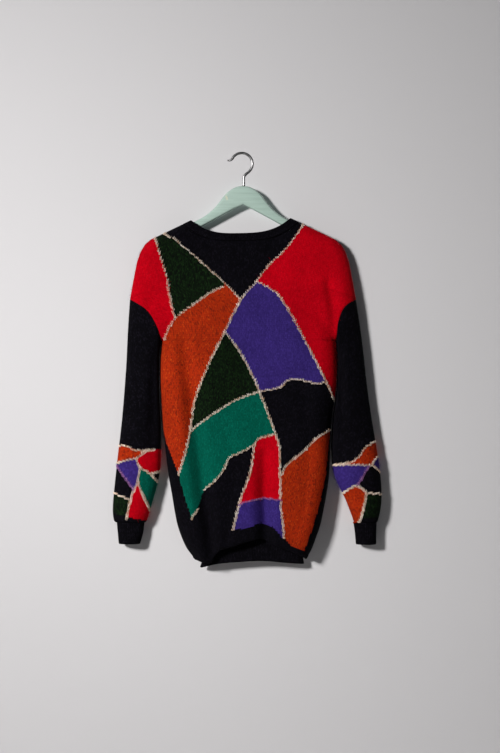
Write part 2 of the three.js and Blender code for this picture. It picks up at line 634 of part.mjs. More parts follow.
const pieces = [
  ['front_panel', panel(FRONT), redWool],
  ['back_panel', panel(BACK), blackWool],
  ['sleeve_left', sleeve(-1), blackWool],
  ['sleeve_right', sleeve(1), blackWool],
  ['cuff_left', cuff(CUFFS.left), blackWool],
  ['cuff_right', cuff(CUFFS.right), blackWool],
  ['hem_rib', hemRib(), blackWool],
  ['neckband', neckband(), blackWool],
  ['hanger_board', hangerBoard(), mintPaint],
  ['hanger_hook', hangerHook(), chrome],
];

const pullover = new THREE.Group();
for (const [name, geometry, material] of pieces) {
  const mesh = new THREE.Mesh(geometry, material);
  mesh.name = name;
  pullover.add(mesh);
}

export default pullover;
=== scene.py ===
# %% [markdown]
# # A patchwork pullover on a wooden hanger
# The object is a knitted pullover with dropped shoulders. Its front is a patchwork of mohair, tweed
# and marl yarns, and it hangs on a painted hanger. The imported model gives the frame: every piece
# made here lies where its CAD solid lies, and shapes are worked out in millimetres.

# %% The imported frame
import math
from collections import namedtuple
import bpy
import numpy as np
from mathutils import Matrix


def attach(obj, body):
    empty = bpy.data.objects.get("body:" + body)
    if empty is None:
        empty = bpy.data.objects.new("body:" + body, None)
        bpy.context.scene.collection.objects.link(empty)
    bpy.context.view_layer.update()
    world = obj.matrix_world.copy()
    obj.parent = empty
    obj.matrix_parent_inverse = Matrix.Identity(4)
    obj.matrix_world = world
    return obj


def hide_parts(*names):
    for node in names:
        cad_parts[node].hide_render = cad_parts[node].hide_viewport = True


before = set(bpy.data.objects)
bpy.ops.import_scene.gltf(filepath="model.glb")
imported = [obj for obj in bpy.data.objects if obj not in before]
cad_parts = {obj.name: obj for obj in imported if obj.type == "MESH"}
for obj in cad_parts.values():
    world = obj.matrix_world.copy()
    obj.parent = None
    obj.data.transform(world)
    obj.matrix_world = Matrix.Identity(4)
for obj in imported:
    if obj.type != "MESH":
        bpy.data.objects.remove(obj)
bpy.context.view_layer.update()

FRONT, BACK = -1, 1          # the side of the plane y = 0 that a face of the cloth lies on
random = np.random.default_rng(7)

# %% [markdown]
# ## Camera
# The pullover is seen straight on from three metres, with the camera level. The lens is worked out
# from the height of wall that is in view.

# %% Camera
CAMERA_DISTANCE, VIEW_HEIGHT = 3.0, 1.506
CAMERA_X, CAMERA_Z = 0.014, -0.444       # a little right of the hook, half way down the pullover
camera_data = bpy.data.cameras.new("camera")
camera_data.lens = camera_data.sensor_width * CAMERA_DISTANCE / VIEW_HEIGHT
camera = bpy.data.objects.new("camera", camera_data)
camera.location = (CAMERA_X, -CAMERA_DISTANCE, CAMERA_Z)
camera.rotation_euler = (math.pi / 2, 0, 0)
bpy.context.scene.collection.objects.link(camera)
bpy.context.scene.camera = camera
print("lens", round(camera_data.lens, 1), "mm")

# %% [markdown]
# ## Helpers for meshes
# A cloth piece is a grid of points, rows down and columns across. It becomes a closed wall: the outer
# face, the same face moved in by the thickness, and the four rims. A Solidify modifier could add the
# thickness, but here each quad also has to remember its stitch, so that the yarn of a stitch reaches
# through the wall, and the map "stitches" counts columns and rows, so that one unit is one stitch.


# %% Mesh from arrays
def make_piece(name, points, faces, materials, yarn=None, stitches=None, replaces=()):
    """One mesh object: points in millimetres, faces as a list of arrays, each of one corner count."""
    mesh = bpy.data.meshes.new(name)
    corners = np.concatenate([f.ravel() for f in faces])
    sizes = np.concatenate([np.full(len(f), f.shape[1]) for f in faces])
    mesh.vertices.add(len(points))
    mesh.vertices.foreach_set("co", (np.asarray(points) * 0.001).astype(np.float32).ravel())
    mesh.loops.add(len(corners))
    mesh.loops.foreach_set("vertex_index", corners.astype(np.int32))
    mesh.polygons.add(len(sizes))
    mesh.polygons.foreach_set("loop_start", (np.cumsum(sizes) - sizes).astype(np.int32))
    mesh.polygons.foreach_set("use_smooth", np.ones(len(sizes), bool))
    for material in materials:
        mesh.materials.append(material)
    if yarn is not None:
        mesh.polygons.foreach_set("material_index", np.asarray(yarn, np.int32))
    if stitches is not None:
        layer = mesh.uv_layers.new(name="stitches")
        layer.data.foreach_set("uv", np.asarray(stitches, np.float32).ravel())
    mesh.update(calc_edges=True)
    mesh.validate()
    piece = bpy.data.objects.new(name, mesh)
    bpy.context.scene.collection.objects.link(piece)
    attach(piece, "root")
    if replaces:
        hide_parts(*replaces)
    print(name, len(points), "points", int((sizes - 2).sum()), "triangles")
    return piece


# %% Closed wall from a grid
WALL = 3.0                   # thickness of the knitted cloth
SEAM_GAP = 0.3               # between two pieces at a seam

# Corners of each kind of quad as (row, column, layer), layer 0 outside and 1 inside.
OUTER = [(1, 0, 0), (1, 1, 0), (0, 1, 0), (0, 0, 0)]
INNER = [(0, 0, 1), (0, 1, 1), (1, 1, 1), (1, 0, 1)]
TOP_RIM = [(0, 0, 0), (0, 1, 0), (0, 1, 1), (0, 0, 1)]
LOW_RIM = [(1, 1, 0), (1, 0, 0), (1, 0, 1), (1, 1, 1)]
LEFT_RIM = [(1, 0, 0), (0, 0, 0), (0, 0, 1), (1, 0, 1)]
RIGHT_RIM = [(0, 1, 0), (1, 1, 0), (1, 1, 1), (0, 1, 1)]


def unit(vectors):
    """The same vectors with a length of one."""
    return vectors / np.maximum(np.linalg.norm(vectors, axis=-1, keepdims=True), 1e-9)


def kept_apart(points, face):
    """The same points, held half a seam gap on their own side of the plane y = 0."""
    y = face * np.maximum(face * points[..., 1], SEAM_GAP / 2)
    return np.stack([points[..., 0], y, points[..., 2]], -1)


def left_and_right(grid, closed):
    """The points to the left and to the right of each stitch in every row of a grid."""
    return (grid, np.roll(grid, -1, axis=1)) if closed else (grid[:, :-1], grid[:, 1:])


def outward(grid, face, closed):
    """Unit normals of a grid: the cross product of the step across and the step down."""
    if closed:
        across = np.roll(grid, -1, axis=1) - np.roll(grid, 1, axis=1)
    else:
        across = np.gradient(grid, axis=1)
    return unit(face * np.cross(across, np.gradient(grid, axis=0)))


def wall(points, face, closed=False, relief=None):
    """Closed wall of a grid: outer points, inner points one thickness further in, and the rims."""
    rows, columns = points.shape[:2]
    out = outward(points, face, closed)
    inner = points - WALL * out
    if not closed:
        inner = kept_apart(inner, face)
    outer = points if relief is None else points + relief[..., None] * out
    last = columns if closed else columns - 1
    r, c = np.meshgrid(np.arange(rows - 1), np.arange(last), indexing="ij")
    parts = [(OUTER, r, c), (INNER, r, c), (TOP_RIM, r[:1], c[:1]), (LOW_RIM, r[-1:], c[-1:])]
    if not closed:
        parts += [(LEFT_RIM, r[:, :1], c[:, :1]), (RIGHT_RIM, r[:, -1:], c[:, -1:])]
    faces, stitches, source = [], [], []
    for corners, row, column in parts:
        step = np.array(corners if face == FRONT else corners[::-1])
        at_row = row.ravel()[:, None] + step[:, 0]
        at_column = column.ravel()[:, None] + step[:, 1]
        faces.append(step[:, 2] * rows * columns + at_row * columns + at_column % columns)
        stitches.append(np.stack([at_column, at_row], -1))
        source.append((row * last + column).ravel())
    vertices = np.concatenate([outer.reshape(-1, 3), inner.reshape(-1, 3)])
    return vertices, np.concatenate(faces), np.concatenate(stitches).astype(float), np.concatenate(source)


# %% Strands
def ring_faces(count, stops, sides):
    """Quads between the rings of each of a count of strands, stops rings a strand, and its two caps."""
    base = (np.arange(count) * stops * sides)[:, None, None]
    stop = (np.arange(stops - 1) * sides)[None, :, None]
    k = np.arange(sides)[None, None, :]
    a, b = base + stop + k, base + stop + (k + 1) % sides
    bands = np.stack([a, b, b + sides, a + sides], -1).reshape(-1, 4)
    start = base[:, 0] + np.arange(sides)[::-1]
    return [bands, start, base[:, 0] + (stops - 1) * sides + np.arange(sides)]


def strands(paths, radii, sides, towards):
    """Closed spindles along short paths: a ring of points round each path point, and a cap at each end."""
    count, stops = paths.shape[:2]
    along = unit(np.gradient(paths, axis=1))
    first = unit(np.cross(along, towards[:, None, :]))
    second = np.cross(along, first)
    turn = 2 * np.pi * np.arange(sides) / sides
    ring = first[:, :, None] * np.cos(turn)[:, None] + second[:, :, None] * np.sin(turn)[:, None]
    points = paths[:, :, None] + ring * np.broadcast_to(radii, (count, stops))[:, :, None, None]
    return points.reshape(-1, 3), ring_faces(count, stops, sides)


def over_strands(values, sides, corners=False):
    """Each strand's value on the faces of its two bands and two caps, or on those faces' corners."""
    counts = (2 * sides * 4, sides, sides) if corners else (2 * sides, 1, 1)
    return np.concatenate([np.repeat(values, count, axis=0) for count in counts])


def cloth_piece(name, grid, face, closed, materials, yarn, node, relief=None, stitch_columns=1):
    """Wall of a grid as a piece; yarn has a number for each stitch, stitch_columns the columns in one."""
    vertices, faces, stitches, source = wall(grid, face, closed, relief)
    stitches[..., 0] /= stitch_columns
    yarn = None if yarn is None else yarn[source]
    return make_piece(name, vertices, [faces], materials, yarn, stitches, [node])


# %% [markdown]
# ## The hanging form
# A knitted pullover on a hanger is nearly flat. It could be dropped on the board by a cloth simulation,
# but that wanders from the real outline, so the form is written down. From the front it has an outline,
# and the cloth rounds away to nothing at each fold: over the shoulders and down both sides. So a point
# of the front lies ahead of the plane y = 0 by a depth, times a quarter circle of the distance to the
# nearest fold. The outline is a short list of stations, each a height and the places of two edges.

# %% Outline in millimetres
SHOULDER_SLOPE = 0.478
SHOULDER = (99.5, -129.5)
SHOULDER_TURN = [(185, -170.4), (196, -180), (205, -195)]
OUTER_FOLD = [(212, -215), (219, -250), (226, -290)]
NECK_MIDDLE, NECK_POWER = -4.5, 3.1
NECK = (99.5, 29)            # half width and drop of the neck opening
BAND = (116.5, 37)           # the same for the outer edge of the neckband
ARMHOLE = {
    -1: [(-226, -290), (-190, -313), (-169, -348), (-163, -374)],
    1: [(226, -290), (202, -306), (189, -336), (186, -374)],
}
ARMPIT_Z = -374
# Body below the armpits: height, left edge, right edge.
BODY_EDGES = [
    (-374, -163, 186), (-410, -165, 187.5), (-450, -165, 187), (-490, -163, 183), (-525, -161, 178),
    (-563, -158, 175), (-600, -154, 174), (-640, -149, 172.5), (-680, -142, 167), (-716, -136, 160),
    (-740, -131, 155), (-760, -124.5, 148), (-785, -113.5, 139), (-801, -102, 131), (-812, -94, 126),
]
# Height, depth of the front, depth of the back, rounding at the folds.
BODY_DEPTH = [
    (-125, 15, 13.6, 15), (-180, 17, 13.6, 20), (-250, 22, 13.5, 30), (-330, 27, 14, 38),
    (-420, 32, 14.5, 42), (-520, 36, 15, 44), (-620, 41, 15, 44), (-700, 45, 15.5, 40),
    (-760, 44, 15.5, 34), (-815, 40, 15, 28),
]


# %% Curves
def at(stations, key, column=1):
    """Smooth value at a key: cubics through the stations, with slopes taken from their neighbours."""
    rows = np.array(sorted(stations), float)
    keys, values = rows[:, 0], rows[:, column]
    slope = np.empty(len(keys))
    slope[1:-1] = (values[2:] - values[:-2]) / (keys[2:] - keys[:-2])
    slope[[0, -1]] = np.diff(values)[[0, -1]] / np.diff(keys)[[0, -1]]
    key = np.clip(key, keys[0], keys[-1])
    i = np.clip(np.searchsorted(keys, key, side="right") - 1, 0, len(keys) - 2)
    span = keys[i + 1] - keys[i]
    t = (key - keys[i]) / span
    start = (2 * t**3 - 3 * t**2 + 1) * values[i] + (t**3 - 2 * t**2 + t) * span * slope[i]
    return start + (3 * t**2 - 2 * t**3) * values[i + 1] + (t**3 - t**2) * span * slope[i + 1]


def rounded_line(points, steps=24):
    """Smooth line through points (Catmull-Rom), with `steps` pieces between each two of them."""
    p = np.array(points, float)
    p = np.vstack([p[:1], p, p[-1:]])
    t = np.linspace(0, 1, steps, endpoint=False)[:, None]
    parts = [
        0.5 * (2 * b + (c - a) * t + (2 * a - 5 * b + 4 * c - d) * t**2 + (3 * b - a - 3 * c + d) * t**3)
        for a, b, c, d in zip(p[:-3], p[1:-2], p[2:-1], p[3:])
    ]
    return np.vstack(parts + [p[-1:]])


def line_length(line):
    """Length of a line of points: the sum of its steps."""
    return np.linalg.norm(np.diff(line, axis=0), axis=1).sum()


def along_line(line, share):
    """Point at a share of a line's length."""
    steps = np.linalg.norm(np.diff(line, axis=0), axis=1)
    length = np.concatenate([[0], np.cumsum(steps)])
    place = np.asarray(share) * length[-1]
    return np.stack([np.interp(place, length, line[:, k]) for k in range(line.shape[1])], -1)


def mix(a, b, share):
    """Value a share of the way from a to b."""
    return a + (b - a) * share


def shoulder_z(x):
    """Height of the shoulder line, which falls evenly away from the neck."""
    return SHOULDER[1] - SHOULDER_SLOPE * (np.abs(x) - SHOULDER[0])


def neck_point(u, shape):
    """Point of the neckline for u from -1 to 1: the chord between its ends, less a flat-bottomed drop."""
    half, drop = shape
    chord = mix(shoulder_z(NECK_MIDDLE - half), shoulder_z(NECK_MIDDLE + half), (u + 1) / 2)
    return np.stack([NECK_MIDDLE + half * u, chord - drop * (1 - np.abs(u) ** NECK_POWER)], -1)


# %% Folds and depth
def fold_line(side):
    """From the neck point over the shoulder and down the outside to the sleeve."""
    neck_x = NECK_MIDDLE + side * NECK[0]
    turn = [(side * x, z) for x, z in SHOULDER_TURN + OUTER_FOLD]
    return np.array([(neck_x, shoulder_z(neck_x))] + turn)


# Heights at which the side folds are sampled, closer together where they turn in above the hem.
TURN_IN_Z = -740
EDGE_STEPS = np.concatenate([
    np.linspace(ARMPIT_Z, TURN_IN_Z, 30, endpoint=False), np.linspace(TURN_IN_Z, BODY_EDGES[-1][0], 60)])
FOLDS = [fold_line(-1), fold_line(1)]
FOLDS += [np.stack([at(BODY_EDGES, EDGE_STEPS, column), EDGE_STEPS], -1) for column in (1, 2)]
BODY_CENTRE = np.array([10, -420])


def nearest_fold(x, z):
    """Distance from (x, z) to the nearest fold, and that fold's outward direction in the plane."""
    point = np.stack([x, z], -1).astype(float)
    best, out = np.full(x.shape, np.inf), np.zeros(x.shape + (2,))
    for line in FOLDS:
        for start, end in zip(line[:-1], line[1:]):
            step = end - start
            share = np.clip(((point - start) @ step) / (step @ step), 0, 1)
            foot = start + share[..., None] * step
            distance = np.linalg.norm(point - foot, axis=-1)
            normal = np.array([step[1], -step[0]]) / np.linalg.norm(step)
            side = np.sign((foot - BODY_CENTRE) @ normal)
            nearer = distance < best
            best = np.where(nearer, distance, best)
            out = np.where(nearer[..., None], side[..., None] * normal, out)
    return best, out


def rounded(distance, rounding):
    """Share of the full depth: a quarter circle from nothing at a fold to one past the rounding."""
    inside = np.maximum(0, 1 - distance / rounding)
    return np.sqrt(1 - inside**2)


print("folds:", [len(line) for line in FOLDS], "points")

# %% [markdown]
# ## Troughs and creases
# Loose cloth falls in soft vertical troughs, and small creases pull from the ends of the neck and
# from under the arms. They could be sculpted or left to a noise texture, but each has a place of its
# own, so each is a line with a depth and a half width, taken off the depth as a bell curve. A few long
# waves unsettle the rest.

# %% Troughs and creases
# Soft vertical troughs, as rows of height, place, depth and half width.
FRONT_TROUGHS = [
    [(-330, -121, 0, 16), (-400, -114, 7, 16), (-475, -104, 11, 16), (-612, -86, 14, 17),
     (-700, -75, 14, 15), (-760, -65, 11, 13), (-820, -62, 5, 12)],
    [(-520, 42, 0, 24), (-600, 43, 8, 20), (-680, 43, 14, 17), (-740, 44, 14.5, 15), (-800, 45, 12, 15)],
]
BACK_TROUGHS = [
    [(-400, 84, 0, 22), (-560, 78, 3, 22), (-700, 70, 2, 20), (-770, 62, 0, 18)],
    [(-380, -70, 0, 24), (-540, -62, 3, 24), (-700, -54, 2, 20), (-770, -46, 0, 18)],
]
# Small creases as lines of points with a depth and a half width: pulls from the neck ends, the
# slack under the arms and a tuck beside each valley.
CREASES = {
    FRONT: [
        ([(-96, -150), (-74, -172), (-58, -196)], 2.2, 7),
        ([(84, -150), (64, -170), (50, -194)], 2.2, 7),
        ([(-150, -352), (-120, -330), (-84, -322)], 2.0, 9),
        ([(172, -352), (146, -322), (112, -308)], 2.2, 10),
        ([(120, -470), (132, -560), (128, -650), (118, -730)], 2.6, 12),
        ([(-20, -640), (-28, -720), (-34, -770)], 2.6, 11),
        ([(42, -600), (42, -680), (43, -760)], 3.5, 11),
        ([(170, -258), (178, -310), (185, -372)], 5.0, 9),
        ([(-200, -225), (-192, -270), (-184, -300)], 1.6, 9),
    ],
    BACK: [
        ([(-92, -156), (-66, -186), (-44, -224)], 1.2, 8),
        ([(80, -156), (58, -186), (38, -224)], 1.2, 8),
        ([(150, -352), (118, -330), (84, -320)], 1.6, 10),
        ([(-142, -352), (-112, -330), (-80, -322)], 1.6, 10),
        ([(8, -560), (2, -640), (4, -700)], 1.6, 13),
    ],
}
BACK_RIPPLE = 0.6            # height of the back's ripple as a share of the front's


def troughs(face, x, z):
    """Depth of the vertical troughs at (x, z): each a bell curve across its own half width."""
    total = np.zeros(np.shape(x))
    for rows in FRONT_TROUGHS if face == FRONT else BACK_TROUGHS:
        offset = (x - at(rows, z, 1)) / at(rows, z, 3)
        total += at(rows, z, 2) * np.exp(-offset**2)
    return total


def creases(face, x, z):
    """Depth of the small creases: a bell curve of the distance to each one's line."""
    total = np.zeros(np.shape(x))
    for points, depth, half_width in CREASES[face]:
        line = rounded_line(points, 8)
        nearest = np.min([np.hypot(x - px, z - pz) for px, pz in line], axis=0)
        total += depth * np.exp(-((nearest / half_width) ** 2))
    return total


def ripple(x, z):
    """Unevenness of hanging wool: a few long waves, slow down the cloth and quicker across it."""
    wide = np.sin(x / 23 + np.sin(z / 90)) * np.sin(z / 120 + 0.8)
    fine = np.sin(x / 9.5 + z / 70 + 2 * np.sin(z / 55)) * np.sin(z / 38 + x / 60)
    return 1.1 * wide + 0.45 * fine


def body_depth(z, face):
    """How far a face stands off the plane y = 0 at a height, away from the folds."""
    return at(BODY_DEPTH, z, 1 if face == FRONT else 2)


def body_rounding(z):
    """How far in from a side fold the cloth is still rounding, at a height."""
    return at(BODY_DEPTH, z, 3)


def body_y(x, z, face, soft=True):
    """Depth coordinate of the body's front or back face over the point (x, z)."""
    depth = body_depth(z, face) - troughs(face, x, z)
    if soft:
        depth = depth - creases(face, x, z) + (1 if face == FRONT else BACK_RIPPLE) * ripple(x, z)
    return face * depth * rounded(nearest_fold(x, z)[0], body_rounding(z))


# %% [markdown]
# ## Front and back panels
# Each panel runs from the shoulder fold down to the blouse line, turns under and climbs back to the
# seam of the hem rib. Above the armpits its four edges are blended into one patch, and below them it
# is ruled between the side edges. A plane projected on the form would stretch the stitches at the
# sides, but knitted cloth has the same stitches in every row, so each row is divided evenly along its
# own length.

# %% Panel shape
NECK_SHARE = 0.56            # share of the top edge's parameter that the neckband takes
SEAM_SHARE = 0.5             # share of the side's parameter that the armhole seam takes
HEM_EDGE = [(-1, -825), (-0.7, -817), (-0.27, -813), (0.17, -811), (0.6, -814), (1, -818)]
HEM_HEIGHT = 80
# Height, left, right, depth of the front and of the back.
HEM_SECTION = [
    (-729, -74, 112, 15, 5), (-790, -76, 117, 16, 7.2),
    (-806, -79, 120, 18, 7.5), (-826, -86, 123, 20, 10),
]
HEM_ROUNDING = 0.42          # of half the width
# Lowest line of the cloth that blouses over the hem rib: place across, height.
BLOUSE = {
    FRONT: [(-1, -808), (-0.85, -813), (-0.7, -813), (-0.58, -800), (-0.44, -788), (-0.31, -783),
            (-0.165, -777), (0.06, -768), (0.16, -766), (0.29, -772), (0.41, -779), (0.61, -788),
            (0.8, -797), (1, -806)],
    BACK: [(-1, -811), (-0.5, -799), (0, -788), (0.5, -791), (1, -809)],
}
ROLL = {FRONT: 5, BACK: 3.3}             # radius of the turn under
ARMHOLE_LINE = {side: rounded_line(points) for side, points in ARMHOLE.items()}
print("armhole seams:", [round(float(line_length(line))) for line in ARMHOLE_LINE.values()], "mm")


def top_edge(s):
    """Top edge of a panel for s from -1 to 1: the neckband's edge, then the shoulder to its corner."""
    place = neck_point(np.clip(s / NECK_SHARE, -1, 1), BAND)
    for side in (-1, 1):
        start = neck_point(np.float64(side), BAND)
        shoulder = np.array([start] + [(side * x, z) for x, z in SHOULDER_TURN])
        share = np.clip((side * s - NECK_SHARE) / (1 - NECK_SHARE), 0, 1)
        place = np.where((side * s > NECK_SHARE)[..., None], along_line(shoulder, share), place)
    return place


def side_edge(side, t):
    """Side edge above the armpit: the armhole seam, then the fold up to the shoulder corner."""
    seam = along_line(ARMHOLE_LINE[side], 1 - np.clip(t / SEAM_SHARE, 0, 1))
    fold = np.array([(side * x, z) for x, z in OUTER_FOLD[::-1] + SHOULDER_TURN[-1:]])
    upper = along_line(fold, np.clip((t - SEAM_SHARE) / (1 - SEAM_SHARE), 0, 1))
    return np.where((t <= SEAM_SHARE)[..., None], seam, upper)


def body_x(z, s):
    """Place across the body at a height, for s from -1 at one side fold to 1 at the other."""
    return mix(at(BODY_EDGES, z, 1), at(BODY_EDGES, z, 2), (s + 1) / 2)


def yoke(s, t):
    """Patch above the armpits: its edges blended across and up, less the blend of its corners."""
    low = np.stack([body_x(ARMPIT_Z, s), np.full(s.shape, float(ARMPIT_Z))], -1)
    high, left, right = top_edge(s), side_edge(-1, t), side_edge(1, t)
    w, up = ((s + 1) / 2)[..., None], t[..., None]
    corners = [np.array([body_x(ARMPIT_Z, e), ARMPIT_Z]) for e in (-1, 1)]
    corners += [top_edge(np.float64(e)) for e in (-1, 1)]
    blend = mix(mix(corners[0], corners[1], w), mix(corners[2], corners[3], w), up)
    return mix(low, high, up) + mix(left, right, w) - blend


# %% Seams of the panels
def armhole_depth(side, share, face):
    """Depth coordinate on an armhole seam, which rounds away at both of its ends."""
    line = ARMHOLE_LINE[side]
    z = along_line(line, share)[..., 1]
    distance = np.minimum(share, 1 - share) * line_length(line)
    return face * body_depth(z, face) * rounded(distance, body_rounding(z))


def hem_point(s, rise, face, clearance=0):
    """Point of the hem rib, s across and rise from its lower edge to its seam, and its outward turn."""
    z = at(HEM_EDGE, s) + HEM_HEIGHT * rise
    left, right = at(HEM_SECTION, z, 1), at(HEM_SECTION, z, 2)
    depth = at(HEM_SECTION, z, 3 if face == FRONT else 4)
    rounding = HEM_ROUNDING * (right - left) / 2
    inside = np.maximum(0, 1 - (1 - np.abs(s)) / HEM_ROUNDING)
    share = np.sqrt(1 - inside**2)
    out = unit(np.stack([np.sign(s) * inside / rounding, face * share / depth, 0 * z], -1))
    return np.stack([mix(left, right, (s + 1) / 2), face * depth * share, z], -1) + clearance * out


# %% Panel grid
STITCH_WIDTH, ROW_HEIGHT = 3.6, 3.2      # gauge of the knitting: 28 stitches and 31 rows in 10 cm
PANEL_STITCHES = 128
YOKE_ROWS, BODY_ROWS, TURN_ROWS, RETURN_ROWS = 64, 132, 7, 9
SHOULDER_EASE = 0.06         # how finely the rows are set where the cloth turns over the shoulder
SEAM_REACH = 0.15            # share of a half row over which the panel takes the depth of its armhole
RETURN_RISE = 2              # least height of the return behind the turn under
DENSE_COLUMNS = 700


def even_stitches(points, count):
    """The same rows with `count` stitches, each row divided evenly along its own length."""
    share = np.linspace(0, 1, count + 1)
    return np.stack([along_line(row, share) for row in points])


def panel_rows(face):
    """Rows of a panel from the shoulder fold to the hem seam, each finely sampled across."""
    across = np.sin(np.linspace(-np.pi / 2, np.pi / 2, DENSE_COLUMNS))
    down = np.linspace(0, 1, YOKE_ROWS)
    ease = np.hypot(down, SHOULDER_EASE) - SHOULDER_EASE
    s, t = np.meshgrid(across, 1 - ease / ease[-1])
    place = yoke(s, t)
    y = body_y(place[..., 0], place[..., 1], face)
    for side in (-1, 1):
        seam = armhole_depth(side, 1 - np.clip(t / SEAM_SHARE, 0, 1), face)
        near = np.clip((side * s - 1) / SEAM_REACH + 1, 0, 1) ** 2 * (t <= SEAM_SHARE)
        edge = y[:, -1:] if side > 0 else y[:, :1]
        y += near * (seam - edge)
    upper = np.stack([place[..., 0], y, place[..., 1]], -1)

    s, r = np.meshgrid(across, np.arange(1, BODY_ROWS + 1) / BODY_ROWS)
    z = mix(ARMPIT_Z, at(BLOUSE[face], s) + ROLL[face], r)
    x = body_x(z, s)
    lower = np.stack([x, body_y(x, z, face), z], -1)
    lower[:, [0, -1], 1] = 0
    lower = kept_apart(lower, face)

    lip = lower[-1]
    distance, fold_out = nearest_fold(lip[:, 0], lip[:, 2])
    rounding, depth = body_rounding(lip[:, 2]), body_depth(lip[:, 2], face)
    inside = np.maximum(0, 1 - distance / rounding)
    ahead = face * np.sqrt(1 - inside**2) / depth
    flat = unit(np.stack([fold_out[:, 0] * inside / rounding, ahead, 0 * depth], -1))
    angle = (np.pi * np.arange(1, TURN_ROWS + 1) / TURN_ROWS)[:, None, None]
    turn = flat * np.cos(angle) - np.array([0, 0, 1]) * np.sin(angle)
    under = kept_apart(lip + ROLL[face] * (turn - flat), face)

    seam = hem_point(across, 1, face, 2 * SEAM_GAP)
    seam[:, 2] = np.maximum(seam[:, 2] - SEAM_GAP, under[-1, :, 2] + RETURN_RISE)
    climb = (np.arange(1, RETURN_ROWS + 1) / RETURN_ROWS)[:, None, None]
    back_up = kept_apart(mix(under[-1], seam, climb), face)
    return np.concatenate([kept_apart(upper, face), lower, under, back_up])


panels = {face: even_stitches(panel_rows(face), PANEL_STITCHES) for face in (FRONT, BACK)}
print("rows in a panel:", len(panels[FRONT]), "stitches in a row:", PANEL_STITCHES)

# %% [markdown]
# ## Yarns
# The patches are brushed mohair, tweed and marl, with plain black wool between them. Modelling each
# loop would take millions of faces, so stocking stitch is drawn by the material as columns of small V
# shapes, each of two slanting legs: the height of a leg rises and falls across half a stitch and along
# one row, with rows pushed up in step with the distance from the stitch's middle. Tweed and marl yarns
# change shade from leg to leg, so a random number for each half stitch picks it from a stepped ramp.
# Wool is matt and rough, and brushed mohair has a soft sheen of its own colour.


# %% Colour and nodes
def linear(code):
    """sRGB hex colour as linear red, green, blue and alpha."""
    parts = [int(code[i:i + 2], 16) / 255 for i in (1, 3, 5)]
    return tuple(p / 12.92 if p <= 0.04045 else ((p + 0.055) / 1.055) ** 2.4 for p in parts) + (1.0,)


def add_node(tree, kind, inputs=None, stops=(), **settings):
    """Adds one node with its settings, its inputs as values or links, and its colour stops; returns it."""
    node = tree.nodes.new(kind)
    for name, value in settings.items():
        setattr(node, name, value)
    for key, value in (inputs or {}).items():
        if isinstance(value, bpy.types.NodeSocket):
            tree.links.new(value, node.inputs[key])
        else:
            node.inputs[key].default_value = value
    for i, (share, code) in enumerate(stops):
        stop = node.color_ramp.elements[i] if i < 2 else node.color_ramp.elements.new(share)
        stop.position, stop.color = share, linear(code)
    return node


def new_material(name, constants):
    """Principled material with its constant sockets set; returns it, its tree, surface and place."""
    material = bpy.data.materials.new(name)
    material.use_nodes = True
    tree = material.node_tree
    tree.nodes.clear()
    surface = add_node(tree, "ShaderNodeBsdfPrincipled", constants)
    add_node(tree, "ShaderNodeOutputMaterial", {"Surface": surface.outputs[0]})
    return material, tree, surface, add_node(tree, "ShaderNodeTexCoord").outputs["Object"]


print("mid grey is", round(linear("#808080")[0], 3), "in linear light")


# %% Wool yarn
LEG_SLANT = 1.1              # how steeply the legs of a V climb, in rows for each stitch's width


